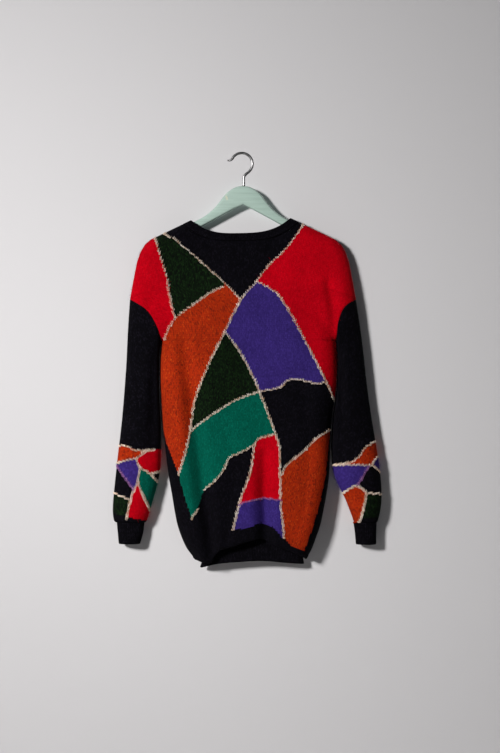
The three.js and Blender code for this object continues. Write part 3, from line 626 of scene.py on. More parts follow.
def yarn_material(name, shades, halo, sheen="#ffffff", rib=False):
    """Knitted wool. shades are (share, hex) steps, halo is how brushed the yarn is, from 0 to 1."""
    material, tree, surface, place = new_material(name, {
        "Roughness": 0.95, "Specular IOR Level": 0.03, "Sheen Weight": 0.09 * halo,
        "Sheen Roughness": 0.5, "Sheen Tint": linear(sheen),
    })

    # Fibres are about 0.05 mm thick; they are drawn as tufts of 1 mm, which is as fine as shows.
    tufts = add_node(tree, "ShaderNodeTexNoise", {"Vector": place, "Scale": 900.0, "Detail": 3.0})
    # Handling and light leave a yarn a little uneven over a hand's width, about 80 mm.
    wear = add_node(tree, "ShaderNodeTexNoise", {"Vector": place, "Scale": 12.0, "Detail": 3.0})
    stitch = add_node(tree, "ShaderNodeUVMap", uv_map="stitches").outputs[0]
    column, row, _ = add_node(tree, "ShaderNodeSeparateXYZ", {0: stitch}).outputs
    known = {"column": column, "row": row, "tufts": tufts.outputs["Fac"], "wear": wear.outputs["Fac"]}
    for result, operation, *terms in [
        ("across", "FRACT", "column"),
        ("aside", "SUBTRACT", "across", 0.5),
        ("leg", "ABSOLUTE", "aside"),            # nothing in a stitch's middle, a half at its sides
        ("slant", "MULTIPLY_ADD", "leg", 0.0 if rib else LEG_SLANT, "row"),
        ("leg turn", "MULTIPLY", "leg", 2 * math.pi),
        ("over", "SINE", "leg turn"),            # rises and falls across half a stitch
        ("climb", "FRACT", "slant"),
        ("climb turn", "MULTIPLY", "climb", math.pi),
        ("up", "SINE", "climb turn"),            # rises and falls along one row
        ("full over", "POWER", "over", 0.6),
        ("full up", "POWER", "up", 0.7),
        ("loop", "MULTIPLY", "full over", "full up"),
        ("halves", "MULTIPLY", "column", 2.0),
        ("half stitch", "FLOOR", "halves"),
        ("leg row", "FLOOR", "slant"),
        ("height", "MULTIPLY_ADD", "tufts", 0.35 + 0.4 * halo, "loop"),
    ]:
        inputs = {slot: known.get(term, term) for slot, term in enumerate(terms)}
        known[result] = add_node(tree, "ShaderNodeMath", inputs, operation=operation).outputs[0]

    cell = add_node(tree, "ShaderNodeCombineXYZ", {0: known["half stitch"], 1: known["leg row"]}).outputs[0]
    chance = add_node(tree, "ShaderNodeTexWhiteNoise", {"Vector": cell}, noise_dimensions="2D")
    ramp = add_node(tree, "ShaderNodeValToRGB", {"Fac": chance.outputs["Value"]}, shades)
    ramp.color_ramp.interpolation = "CONSTANT"
    colour = ramp.outputs["Color"]
    # Painted shade: the grooves between the loops are darkened in the colour as if shaded, less so under a
    # halo, and the loop tops are lifted a little as a painted highlight; tufts and wear vary the tone of the
    # rest.
    for source, start, end, dark, light in [("loop", 0.0, 1.0, 0.62 + 0.2 * halo, 1.06),
                                            ("tufts", 0.3, 0.7, 0.86, 1.14), ("wear", 0.3, 0.7, 0.9, 1.1)]:
        inputs = {"Value": known[source], "From Min": start, "From Max": end, "To Min": dark, "To Max": light}
        painted_shade_and_tone = add_node(tree, "ShaderNodeMapRange", inputs).outputs[0]
        colour = add_node(tree, "ShaderNodeVectorMath", {0: colour, 1: painted_shade_and_tone}, operation="MULTIPLY").outputs[0]
    bump = add_node(tree, "ShaderNodeBump", {"Height": known["height"], "Strength": 0.7, "Distance": 0.0009})
    tree.links.new(colour, surface.inputs["Base Color"])
    tree.links.new(bump.outputs[0], surface.inputs["Normal"])
    return material


BLACK, RED, GREEN, ORANGE, VIOLET, TEAL, CREAM, LILAC = range(8)
YARNS = [yarn_material(*row) for row in [
    # name, shades, how brushed it is, colour of its sheen
    ("black_lambswool", [(0, "#08070b"), (0.55, "#0b0a10"), (0.85, "#121017")], 0.1, "#6a6478"),
    ("red_brushed_mohair", [(0, "#b80013"), (0.5, "#ac0012"), (0.85, "#bf0418")], 0.8, "#d8202c"),
    ("green_and_black_marl",
     [(0, "#0b150b"), (0.5, "#11210f"), (0.8, "#090c09"), (0.95, "#182b14")], 0.15, "#3c5a38"),
    ("orange_tweed",
     [(0, "#a82c0d"), (0.45, "#9a280e"), (0.8, "#7c210e"), (0.94, "#b83d12")], 0.3, "#d0683c"),
    ("violet_brushed_mohair", [(0, "#36276f"), (0.5, "#312367"), (0.85, "#3d2d7c")], 0.8, "#6a58b4"),
    ("teal_brushed_mohair", [(0, "#015546"), (0.5, "#014f40"), (0.85, "#04604f")], 0.8, "#2f8f7a"),
    ("cream_cotton_twist", [(0, "#efdccb"), (0.4, "#dcc0ab"), (0.7, "#fbf0e4"), (0.92, "#bb9878")], 0.1),
    ("lilac_fine_mohair", [(0, "#9c6aa0"), (0.5, "#8a5894"), (0.85, "#b78ab4")], 0.7, "#c8a0d0"),
]]
print("yarns:", [y.name for y in YARNS])

# %% [markdown]
# ## The patchwork
# On the real front each patch is knitted in with its own ball of yarn. It could be cut up into a mesh
# for each patch, but one panel whose stitches each have a yarn is how it is made. The chart is a set
# of lines drawn across the hung panel, and each patch is bounded by stretches of those lines, so a
# patch and its cream edge always agree. Patches are laid in turn, each one over the ones before it,
# and a stitch takes the yarn of the last patch that holds its middle. The cream and lilac edging is
# worked over the joins afterwards, on the stitches that a line crosses.

# %% Chart of the front
FRONT_LINES = {
    "left neck": [(-162, -156), (-130, -176), (-80, -219), (-39, -256), (-4, -291)],
    "long": [(121, -141), (86, -189), (51, -223), (27, -255), (-4, -291), (-36, -355), (-67, -417),
             (-95, -490), (-106, -557), (-116, -601), (-127, -637)],
    "shoulder": [(-176, -165), (-167, -195), (-152, -245), (-144, -289), (-135, -330)],
    "arc": [(-37, -264), (-68, -280), (-99, -302), (-135, -330), (-152, -358), (-158, -373)],
    "right": [(27, -255), (64, -276), (83, -301), (108, -345), (136, -398), (164, -454), (182, -492)],
    "middle": [(-36, -355), (-8, -392), (14, -433), (33, -474), (57, -538), (64, -558), (72, -585),
               (73, -638), (75, -700), (81, -762)],
    "cross": [(164, -454), (145, -458), (117, -451), (89, -451), (73, -465), (33, -474), (-11, -489),
              (-56, -516), (-94, -544), (-106, -557)],
    "lower": [(64, -558), (33, -566), (19, -580), (-5, -594), (-27, -605), (-39, -629), (-55, -649),
              (-77, -668)],
    "tip": [(-90, -706), (-101, -724)],
    "red edge": [(22, -581), (14, -632), (1, -670), (-8, -696), (-20, -746)],
    "lilac": [(-8, -696), (20, -688), (42, -685), (75, -688)],
    "right low": [(174, -549), (145, -566), (123, -589), (89, -616), (74, -640)],
}
# The patches in the order in which they are laid: the yarn, then the edges in turn. An edge is a line's
# name, or a name with the numbers of the points that it runs between, or loose points.
FRONT_PATCHES = [
    (RED, "shoulder", ("arc", 3), [(-260, -376), (-260, -120), (-178, -150)]),
    (GREEN, ("left neck", 0, 3), ("arc", 0, 3), ("shoulder", 4, 0), [(-178, -150), (-164, -145)]),
    (ORANGE, ("left neck", 3), ("long", 4),
     [(-130, -629), (-152, -577), (-162, -538), (-200, -500), (-200, -372)], ("arc", 5, 0)),
    (VIOLET, ("long", 3, 5), ("middle", 0, 3), ("cross", 5, 0), ("right", 5, 0)),
    (RED, ("long", 0, 3), "right", [(240, -492), (260, -120), (124, -130)]),
    (GREEN, ("long", 5, 8), ("cross", 9, 5), ("middle", 3, 0)),
    (TEAL, ("cross", 9, 5), ("middle", 3, 5), "lower", "tip", [(-117, -676), (-127, -637)], ("long", 10, 8)),
    (RED, ("red edge", 0, 3), "lilac", ("middle", 8, 5), ("lower", 0, 2)),
    (VIOLET, ("red edge", 3), [(6, -743), (36, -733), (60, -741), (80, -764)], ("middle", 9, 8),
     ("lilac", 3, 0)),
    (ORANGE, "right low", ("middle", 7), [(84, -764), (97, -780), (121, -789), (136, -748), (151, -701),
                                         (164, -644), (168, -607)]),
]

# %% Charts of the sleeves
LEFT_LINES = {
    "top": [(-256, -582), (-234, -582), (-218, -588), (-200, -591), (-177, -589)],
    "rise": [(-177, -589), (-196, -594), (-210, -605), (-232, -610), (-256, -619)],
    "lilac": [(-254, -620), (-216, -670)],
    "ridge": [(-212, -608), (-204, -624), (-184, -638), (-160, -668)],
    "branch": [(-186, -637), (-160, -632)],
    "fork": [(-204, -626), (-209, -655)],
    "right fork": [(-209, -655), (-186, -710)],
    "left fork": [(-209, -655), (-218, -672), (-224, -692), (-232, -727)],
    "low": [(-266, -675), (-240, -682), (-223, -690)],
}
RIGHT_LINES = {
    "top": [(170, -622), (204, -616), (224, -608), (234, -598), (244, -584), (270, -570)],
    "level": [(170, -622), (204, -619), (256, -620)],
    "edge up": [(256, -620), (264, -608), (280, -597)],
    "edge low": [(256, -620), (282, -641)],
    "lilac": [(250, -621), (226, -661)],
    "peak": [(194, -680), (224, -661), (245, -675)],
    "shelf": [(245, -675), (284, -679)],
    "fork": [(245, -675), (234, -724), (226, -739)],
    "inner": [(198, -678), (219, -738)],
}
LEFT_PATCHES = [
    (ORANGE, "top", "rise"),
    (RED, ("rise", 0, 2), ("ridge", 0, 2), "branch", [(-150, -589)]),
    (VIOLET, ("rise", 2), "lilac", ("fork", 1, 0), ("ridge", 1, 0)),
    (TEAL, ("ridge", 1), [(-150, -680), (-166, -716)], ("right fork", 1, 0), ("fork", 1, 0)),
    (RED, "right fork", [(-178, -716), (-186, -732), (-212, -727), (-233, -721)], ("left fork", 3, 0)),
    (GREEN, "low", ("left fork", 2), [(-233, -719), (-272, -716)]),
]
RIGHT_PATCHES = [
    (ORANGE, "top", [(292, -574)], ("edge up", 2, 0), ("level", 2, 0)),
    (VIOLET, "edge up", [(292, -610)], ("edge low", 1, 0)),
    (VIOLET, ("level", 0, 2), "lilac", ("peak", 1, 0), [(160, -650)]),
    (ORANGE, "peak", "fork", ("inner", 1, 0)),
    (GREEN, "shelf", [(292, -722), (232, -725)], ("fork", 1, 0)),
]
LINE_YARN = {"lilac": LILAC}             # every other line is cream
LINE_REACH = 1.6                         # a stitch whose middle is this near a line gets its edging
LINE_STEPS = 24                          # short steps between two points of a line


# %% Yarn of each stitch
def inside(x, z, outline):
    """True where (x, z) is inside a closed outline: a ray to the right crosses it an odd number of times."""
    crossed = np.zeros(x.shape, bool)
    for (x0, z0), (x1, z1) in zip(outline, np.roll(outline, -1, axis=0)):
        if z0 != z1:
            crossed ^= ((z0 > z) != (z1 > z)) & (x < x0 + (z - z0) * (x1 - x0) / (z1 - z0))
    return crossed


def edge_points(lines, edge):
    """Points of one edge of a patch; a stretch runs backwards when its end comes before its start."""
    if isinstance(edge, list):
        return edge
    name, *ends = [edge] if isinstance(edge, str) else edge
    start, end = ends + [0, len(lines[name]) - 1][len(ends):]
    smooth = rounded_line(lines[name], LINE_STEPS)
    low, high = sorted([start * LINE_STEPS, end * LINE_STEPS])
    return smooth[low:high + 1][::1 if end >= start else -1]


def distance_to(x, z, line):
    """Distance to the nearest point of a line whose points are close together."""
    steps = 2 * (len(line) - 1) * LINE_STEPS
    fine = along_line(rounded_line(line), np.linspace(0, 1, steps))
    return np.min([np.hypot(x - px, z - pz) for px, pz in fine], axis=0)


def stitch_yarns(grid, lines, patches, closed=False):
    """Yarn of every stitch of a grid, and the yarn worked over it along the edging lines, or -1."""
    left, right = left_and_right(grid, closed)
    middle = (left[:-1] + left[1:] + right[:-1] + right[1:]) / 4
    x, z = middle[..., 0].ravel(), middle[..., 2].ravel()
    yarn = np.full(x.shape, BLACK)
    for number, *edges in patches:
        yarn[inside(x, z, np.vstack([edge_points(lines, edge) for edge in edges]))] = number
    edging = np.full(x.shape, -1)
    for name, line in lines.items():
        edging[distance_to(x, z, line) < LINE_REACH] = LINE_YARN.get(name, CREAM)
    return yarn, edging


# %% Front and back
Cloth = namedtuple("Cloth", "piece grid face closed yarn edging hairy_rows")

# The blouse turns under below the last row of the body, and from there on it is plain black.
patch_rows = YOKE_ROWS + BODY_ROWS - 1
front_yarn, front_edging = stitch_yarns(panels[FRONT], FRONT_LINES, FRONT_PATCHES)
hidden = np.arange(len(front_yarn)) >= patch_rows * PANEL_STITCHES
front_yarn[hidden], front_edging[hidden] = BLACK, -1
back_yarn = np.full((len(panels[BACK]) - 1) * PANEL_STITCHES, BLACK)
print("stitches of each yarn:", np.bincount(front_yarn, minlength=8))

front = cloth_piece("pullover_front", panels[FRONT], FRONT, False, YARNS, front_yarn, "front_panel")
back = cloth_piece("pullover_back", panels[BACK], BACK, False, YARNS[:1], None, "back_panel")
cloths = {
    "front": Cloth(front, panels[FRONT], FRONT, False, front_yarn, front_edging, patch_rows),
    "back": Cloth(back, panels[BACK], BACK, False, back_yarn, None, patch_rows),
}

# %% [markdown]
# ## Sleeves
# A sleeve is one tube. It starts on the slanted armhole seam and ends at the straight seam of the
# cuff, between an outer and an inner edge. A bent cylinder would miss both seams, so the four edges
# are blended into one patch, as on the panels. Round the arm it is a flattened oval, and it hangs a
# little behind the body.

# %% Sleeve stations
SLEEVE_EDGES = {
    -1: {
        "outer": [(-226, -290), (-230, -350), (-234, -430), (-242, -530), (-252, -618), (-260, -700),
                  (-258, -731)],
        "inner": [(-163, -374), (-166, -400), (-166.8, -450), (-165.2, -500), (-163, -545), (-163.5, -590),
                  (-167, -640), (-184, -706), (-193, -733)],
    },
    1: {
        "outer": [(226, -290), (237, -364), (248, -461), (258, -532), (273, -625), (277, -690), (270, -731)],
        "inner": [(186, -374), (188.8, -410), (188.4, -450), (184.8, -490), (180, -525), (177.3, -563),
                  (177, -600), (182, -640), (205, -690), (221, -732)],
    },
}
# Share of the length, depth of the front, depth of the back, set back.
SLEEVE_DEPTH = [
    (0, 26, 14, 0), (0.1, 25, 14.5, 0), (0.3, 25, 15, 0),
    (0.7, 26, 15.5, 0), (0.95, 25, 16, -0.5), (1, 17, 16, -1),
]
TROUGH_DEPTH, TROUGH_PLACE, TROUGH_HALF_WIDTH = 7, 0.72, 0.16
SETTLE = 0.14                # share of the length over which the seam's section becomes the arm's
TUCK_DEPTH, TUCK_FROM = 1.6, 0.72        # soft tucks where the sleeve rests on its cuff
# Cuffs: height, left, right and depth at the seam, half way and at the open end.
CUFFS = {
    -1: [(-734.5, -252, -197, 17), (-756, -250, -200, 16.5), (-778, -248, -206, 16)],
    1: [(-734.5, 221, 267, 17), (-756, 224, 266, 16.5), (-779, 226, 266, 16)],
}
CUFF_SET_BACK = -1
SLEEVE_STITCHES, SLEEVE_ROWS = 100, 134
print("girth of a sleeve:", SLEEVE_STITCHES // 2, "stitches, length:", SLEEVE_ROWS - 1, "rows")


# %% Sleeve surface
def sleeve_surface(side, s, v, face):
    """Point of a sleeve's front or back face: s from left to right, v from the armhole to the cuff."""
    w = (1 - side * s) / 2
    seam_line = ARMHOLE_LINE[side]
    seam = along_line(seam_line, w)
    top_z, left, right, _ = CUFFS[side][0]
    cuff_outer, cuff_inner = (left, right) if side < 0 else (right, left)
    low_z = top_z + SEAM_GAP / 2
    low = np.stack([mix(cuff_outer, cuff_inner, w), np.full(w.shape, low_z)], -1)
    outer = along_line(rounded_line(SLEEVE_EDGES[side]["outer"] + [(cuff_outer, low_z)]), v)
    inner = along_line(rounded_line(SLEEVE_EDGES[side]["inner"] + [(cuff_inner, low_z)]), v)
    w2, v2 = w[..., None], v[..., None]
    chord = mix(seam_line[0], seam_line[-1], w2)
    place = mix(seam, low, v2) + mix(outer, inner, w2) - mix(chord, low, v2)
    settle = np.clip(v / SETTLE, 0, 1)
    settle = settle**2 * (3 - 2 * settle)
    width = np.linalg.norm(outer - inner, axis=-1)
    rounding = mix(body_rounding(seam[..., 1]), width / 2, settle)
    arm_depth = at(SLEEVE_DEPTH, v, 1 if face == FRONT else 2)
    depth = mix(body_depth(seam[..., 1], face), arm_depth, settle)
    share = rounded(np.minimum(w, 1 - w) * mix(line_length(seam_line), width, settle), rounding)
    offset = (w - TROUGH_PLACE) / TROUGH_HALF_WIDTH
    fade = np.sin(np.pi * np.minimum(1, 1.3 * v)) ** 2
    trough = TROUGH_DEPTH * fade * np.exp(-offset**2)
    soft = ripple(place[..., 0] * 1.4, place[..., 1] * 1.7) * np.clip(4 * v * (1 - v), 0, 1)
    tucked = np.clip((v - TUCK_FROM) / 0.2, 0, 1) * (1 - v) / (1 - TUCK_FROM)
    tucks = TUCK_DEPTH * np.sin(place[..., 1] / 8.5 + 2.2 * w + side) * tucked
    y = at(SLEEVE_DEPTH, v, 3) + face * (depth - trough + soft + tucks) * share
    return np.stack([place[..., 0], y, place[..., 1]], -1)


# %% Sleeves
def ring(count):
    """Places round a tube: -1 to 1 over the front, then back to -1 over the back, and each one's face."""
    turn = 2 * np.pi * np.arange(count) / count
    face = np.where(np.arange(count) < count // 2, FRONT, BACK)
    return -np.cos(turn), face


def tube(surface, rows, count):
    """Grid of a tube whose front and back are given by surface(s, v, face), v from 0 to 1."""
    s, face = ring(count)
    across, down = np.meshgrid(s, np.linspace(0, 1, rows))
    halves = {side: surface(across, down, side) for side in (FRONT, BACK)}
    return np.where((face == FRONT)[None, :, None], halves[FRONT], halves[BACK])


for side, name, *chart in [(-1, "sleeve_left", LEFT_LINES, LEFT_PATCHES),
                           (1, "sleeve_right", RIGHT_LINES, RIGHT_PATCHES)]:
    grid = tube(lambda s, v, face: sleeve_surface(side, s, v, face), SLEEVE_ROWS, SLEEVE_STITCHES)
    yarn, edging = stitch_yarns(grid, *chart, closed=True)
    piece = cloth_piece(f"pullover_{name}", grid, FRONT, True, YARNS, yarn, name,
                        stitch_columns=2)
    cloths[name] = Cloth(piece, grid, FRONT, True, yarn, edging, SLEEVE_ROWS - 1)

# %% [markdown]
# ## Ribs
# Hem, cuffs and neckband are one-and-one rib: upright ridges of knit stitches with a purl groove
# between each two. Bump alone would leave their rims smooth against the light, so the ridges are real
# relief in the mesh, about 3.4 mm apart, on the same walls.

# %% Hem, cuffs and neckband
RIB_PITCH, RIB_RELIEF, RIB_POINTS = 3.4, 0.9, 6


def rib_relief(rows, count):
    """Height of the rib over a grid: a rounded ridge for every RIB_POINTS columns, eased at both rims."""
    ridge = 0.5 + 0.5 * np.cos(2 * np.pi * np.arange(count) / RIB_POINTS)
    ease = np.ones(rows)
    ease[[0, -1]] = 0.5
    return RIB_RELIEF * ease[:, None] * (ridge[None, :] ** 0.7 - 0.5)


def rib_piece(node, surface, rows, girth):
    """Ribbed tube: the grid of a surface with ridges set evenly round it; returns the piece and grid."""
    count = 2 * round(girth / RIB_PITCH / 2) * RIB_POINTS
    dense = tube(surface, rows, 6 * count)
    grid = even_stitches(np.concatenate([dense, dense[:, :1]], axis=1), count)[:, :-1]
    piece = cloth_piece(f"pullover_{node}", grid, FRONT, True, [RIB_YARN], None, node,
                        rib_relief(rows, count), RIB_POINTS)
    return piece, grid


def cuff_surface(side, s, v, face):
    """Point of a cuff: an oval whose edges and depth are read from its three heights."""
    rows = [(share,) + row for share, row in zip((0, 0.5, 1), CUFFS[side])]
    left, right, depth = at(rows, v, 2), at(rows, v, 3), at(rows, v, 4)
    z = at(rows, v, 1) - np.where(v == 0, SEAM_GAP / 2, 0)
    y = CUFF_SET_BACK + face * depth * np.sqrt(np.maximum(0, 1 - s**2))
    return np.stack([(left + right) / 2 + (right - left) / 2 * s, y, z], -1)


def neckband_surface(s, v, face):
    """Point of the neckband: from the neck opening out to the edge that the panels are sewn to."""
    top, low = neck_point(s, NECK), neck_point(s, BAND)
    step = low - top
    gap = 2 * SEAM_GAP / np.linalg.norm(step, axis=-1, keepdims=True)
    place = top + step * (v[..., None] * (1 - gap))
    y = body_y(place[..., 0], place[..., 1], face, soft=False)
    y = np.where(np.abs(s) > 0.9999, 0, y)
    return np.stack([place[..., 0], y, place[..., 1]], -1)


RIB_SHADES = [(0, "#08070b"), (0.6, "#0c0b10"), (0.88, "#131118")]
RIB_YARN = yarn_material("black_ribbed_wool", RIB_SHADES, 0.1, "#6a6478", rib=True)
ribs = [rib_piece(*row) for row in [
    # node, surface, rows, girth in millimetres
    ("hem_rib", lambda s, v, face: hem_point(s, 1 - v, face), 25, 430),
    ("cuff_left", lambda s, v, face: cuff_surface(-1, s, v, face), 14, 122),
    ("cuff_right", lambda s, v, face: cuff_surface(1, s, v, face), 14, 112),
    ("neckband", neckband_surface, 8, 470),
]]

# %% [markdown]
# ## Cream edging
# The cream yarn of the edging stands proud of the patches. Colouring whole stitches would leave it
# blocky, so every stitch of a line gets two small spindles, the legs of its V, laid on the cloth
# along the stitch's own row and column and set a little unevenly. They are one joined mesh.

# %% Raised edging stitches
LEG_RADIUS = 0.68
LEG_SIDES, LEG_TAPER = 5, np.array([0.4, 1.0, 0.4])


def edging_piece(name, cloth):
    """Two legs for each edging stitch, from the foot of the stitch to its upper corners."""
    worked = cloth.edging >= 0
    left, right = left_and_right(cloth.grid, cloth.closed)
    steps = [(right - left)[:-1], np.diff(left, axis=0), left[:-1]]
    across, down, corner = [step.reshape(-1, 3)[worked] for step in steps]
    out = unit(np.cross(down, across))
    across, down = STITCH_WIDTH * unit(across), ROW_HEIGHT * unit(down)
    jitter = random.normal(0, 0.12, (2, len(corner), 1))
    paths = []
    # A leg runs from just below the stitch to just above it, and stands out most in the middle.
    for side in (-1, 1):
        foot = corner + (0.5 + 0.08 * side + jitter[0]) * across + 1.15 * down
        head = corner + (0.5 + 0.5 * side + jitter[1]) * across - 0.15 * down
        belly = (foot + head) / 2 + 0.1 * side * across
        paths.append(np.stack([foot + 0.1 * out, belly + 0.75 * out, head + 0.1 * out], 1))
    points, faces = strands(np.concatenate(paths), LEG_RADIUS * LEG_TAPER, LEG_SIDES, np.tile(out, (2, 1)))
    legs = np.tile(cloth.edging[worked], 2)
    place = (np.arange(len(legs)) * 0.37) % 50        # a different stitch of the map for every leg
    stitches = over_strands(np.stack([place, 0.3 * place], -1), LEG_SIDES, corners=True)
    lilac = np.where(over_strands(legs, LEG_SIDES) == LILAC, 1, 0)
    yarns = [YARNS[CREAM], YARNS[LILAC]]
    return make_piece(name, points, faces, yarns, lilac, stitches)


edgings = {name: edging_piece(f"edging_{name}", cloth) for name, cloth in cloths.items() if name != "back"}

# %% [markdown]
# ## Halo of loose fibres
# Brushed yarn stands off the cloth as a halo of fine hairs, longest on the mohair. Blender's hair
# would be lost in the export, so each hair is a bent spindle in one joined mesh, rooted in its own
# stitch, whose yarn it takes.

# %% Loose fibres
HAIR_LENGTH = np.array([2.6, 6.0, 2.8, 3.4, 6.5, 6.0])        # for each yarn from black to teal
HAIR_WEIGHT = np.array([0.35, 1.6, 0.5, 0.7, 1.8, 1.5])       # how thickly each yarn is haired
HAIR_COUNT = {"front": 9000, "back": 3500, "sleeve_left": 2800, "sleeve_right": 2800}
HAIR_RADIUS = 0.11           # real mohair is thinner, and would not show
HAIR_SIDES, HAIR_TAPER = 3, np.array([1, 0.8, 0.3])


def fibre_piece(name, cloth, count):
    """Hairs at random places of a grid: out along the normal, aside at random, and drooping at the tip."""
    grid = cloth.grid
    columns = left_and_right(grid, cloth.closed)[0].shape[1]
    cells = cloth.yarn.reshape(-1, columns)[:cloth.hairy_rows].ravel()
    weight = HAIR_WEIGHT[cells]
    pick = random.choice(len(weight), count, p=weight / weight.sum())
    r, c = pick // columns, pick % columns
    u, v = random.random((2, count, 1))
    c2 = (c + 1) % grid.shape[1]
    root = mix(mix(grid[r, c], grid[r, c2], u), mix(grid[r + 1, c], grid[r + 1, c2], u), v)
    normal = outward(grid, cloth.face, cloth.closed)[r, c]
    kind = cells[pick]
    length = HAIR_LENGTH[kind][:, None] * random.uniform(0.5, 1.15, (count, 1))
    aside = random.normal(0, 1, (count, 3))
    aside -= (aside * normal).sum(1, keepdims=True) * normal
    bend = random.normal(0, 1, (count, 3))
    start = root - 0.3 * normal
    middle = root + length * (0.34 * normal + 0.32 * aside)
    tip = middle + length * (0.16 * normal + 0.3 * aside + 0.16 * bend - np.array([0, 0, 0.12]))
    points, faces = strands(np.stack([start, middle, tip], 1), HAIR_RADIUS * HAIR_TAPER, HAIR_SIDES, bend)
    place = np.stack([c + 0.25, r + 0.5], -1)
    stitches = over_strands(place, HAIR_SIDES, corners=True)
    yarn = over_strands(kind, HAIR_SIDES)
    return make_piece(name, points, faces, YARNS, yarn, stitches)


fibres = {name: fibre_piece(f"fibres_{name}", cloth, HAIR_COUNT[name]) for name, cloth in cloths.items()}

# %% [markdown]
# ## Hanger
# The hanger is a flat board of beech under mint paint, with both long edges eased. A Bevel modifier
# would ease every edge alike, so the outline, one half mirrored and smoothed, is carried through the
# thickness while it is drawn in along a quarter circle at both faces.

# %% Hanger board
BOARD_THICKNESS, BOARD_EASE = 13, 5
BOARD_TOP = [(0, -63.5), (13, -65), (26, -72), (37, -82), (47, -95), (60, -110), (76, -123), (94, -133)]
BOARD_END = [(170, -170.5), (178, -176), (181, -182), (177, -191), (168, -192.6)]
BOARD_ARM = [(130, -151.4), (150, -161)]          # on the straight upper edge of the arm
BOARD_APEX, BOARD_APEX_ROUNDING, BOARD_LOW_SLOPE = -99.4, 3, 0.545


def board_outline():
    """Right half of the board's outline, smoothed in its curved stretches, then mirrored."""
    mirrored = (-BOARD_TOP[1][0], BOARD_TOP[1][1])
    top = rounded_line([mirrored] + BOARD_TOP + BOARD_ARM[:1], 5)[5:]
    end = rounded_line(BOARD_ARM[1:] + BOARD_END, 5)
    low_x = np.linspace(BOARD_ARM[1][0], 0, 9)
    low = np.stack([low_x, BOARD_APEX - BOARD_LOW_SLOPE * np.hypot(low_x, BOARD_APEX_ROUNDING)], -1)
    right = np.vstack([top, end, low])
    return np.vstack([right, (right * [-1, 1])[::-1][1:-1]])


def inset(outline, distance):
    """The outline moved in by a distance, each point along its own normal."""
    step = np.roll(outline, -1, axis=0) - np.roll(outline, 1, axis=0)
    normal = unit(np.stack([step[:, 1], -step[:, 0]], -1))
    x, z = outline.T
    turning = np.sign(np.sum(x * np.roll(z, -1) - np.roll(x, -1) * z))
    return outline - turning * normal * np.reshape(distance, (-1, 1, 1))


def hanger_board():
    """Skin of the board: the outline drawn in along a quarter circle at each face, and two flat lids."""
    angle = np.linspace(0, np.pi / 2, 6)
    ease, half = BOARD_EASE * 0.8, BOARD_THICKNESS / 2
    drawn = ease * (1 - np.sin(angle))
    depth = half - BOARD_EASE * (1 - np.cos(angle))
    depth = np.concatenate([-depth, depth[::-1]])
    lines = inset(board_outline(), np.concatenate([drawn, drawn[::-1]]))
    points = np.stack([lines[..., 0], np.broadcast_to(depth[:, None], lines.shape[:2]), lines[..., 1]], -1)
    return points.reshape(-1, 3), ring_faces(1, *points.shape[:2])


# %% Mint paint
def paint_material():
    """Mint eggshell paint on beech: thin enough for the grain to show as faint lines, rubbed in spots."""
    constants = {"Specular IOR Level": 0.45, "Coat Weight": 0.08}
    material, tree, surface, place = new_material("mint_paint_on_beech", constants)
    # Beech grain runs along the board; its pores are drawn 1.5 mm apart and 60 mm long.
    along = add_node(tree, "ShaderNodeMapping", {"Vector": place, "Scale": (16.0, 200.0, 650.0)}).outputs[0]
    grain = add_node(tree, "ShaderNodeTexNoise", {"Vector": along, "Scale": 1.0, "Detail": 4.0}).outputs["Fac"]
    # Rubbed spots are a few millimetres wide and about 20 mm apart.
    rubs = add_node(tree, "ShaderNodeTexNoise", {"Vector": place, "Scale": 45.0, "Detail": 5.0}).outputs["Fac"]
    tone = add_node(tree, "ShaderNodeValToRGB", {"Fac": grain}, [(0.3, "#93a9a0"), (0.7, "#a5bcb3")])
    worn = add_node(tree, "ShaderNodeMapRange", {"Value": rubs, "From Min": 0.66, "From Max": 0.74}).outputs[0]
    blend = {"Factor": worn, 6: tone.outputs["Color"], 7: linear("#c9c3a8")}
    colour = add_node(tree, "ShaderNodeMix", blend, data_type="RGBA").outputs[2]
    gloss = add_node(tree, "ShaderNodeMapRange", {"Value": rubs, "To Min": 0.38, "To Max": 0.6}).outputs[0]
    bump = add_node(tree, "ShaderNodeBump", {"Height": grain, "Strength": 0.3, "Distance": 0.0003})
    tree.links.new(colour, surface.inputs["Base Color"])
    tree.links.new(gloss, surface.inputs["Roughness"])
    tree.links.new(bump.outputs[0], surface.inputs["Normal"])
    return material


points, faces = hanger_board()
board = make_piece("hanger_board_painted", points, faces, [paint_material()], replaces=["hanger_board"])

# %% [markdown]
# ## Hook
# The hook is round wire: a stem with a small lean, a bend over the seat and a short lip, thinned to a
# blunt tip. A curve with a round bevel could make it, but the same rings that make the strands take
# the taper too. Chromed wire is a metal that mirrors the room, a little duller where it is handled.

# %% Hanger hook
WIRE_RADIUS = 2.75
HOOK_BEND_X, HOOK_BEND_RADIUS = -2.5, 21.5
HOOK_STEM = [(1.8, -63.2), (1.8, -53), (2.1, -45.5), (4, -41.4)]     # up from the board and round the kink
BEND_FROM, BEND_TO = -0.785, 2.7         # radians round the bend, from below on the right to the lip
HOOK_LIP = [(-25.2, -11.4), (-28, -12.2), (-31, -11.4)]
TIP_STEPS, TIP_SHARES = [0, 6, 12, 20], [0.5, 0.64, 0.86, 1.0]       # steps from the tip, share of the radius


def hook_route():
    """Middle line of the wire in the plane, from the foot of the stem round the bend to the lip."""
    centre_z = -math.sqrt((HOOK_BEND_RADIUS - WIRE_RADIUS) ** 2 - HOOK_BEND_X**2)
    angle = np.linspace(BEND_FROM, BEND_TO, 14)
    bend = [HOOK_BEND_X, centre_z] + HOOK_BEND_RADIUS * np.stack([np.cos(angle), np.sin(angle)], -1)
    return rounded_line(np.vstack([HOOK_STEM, bend, HOOK_LIP]), 6)


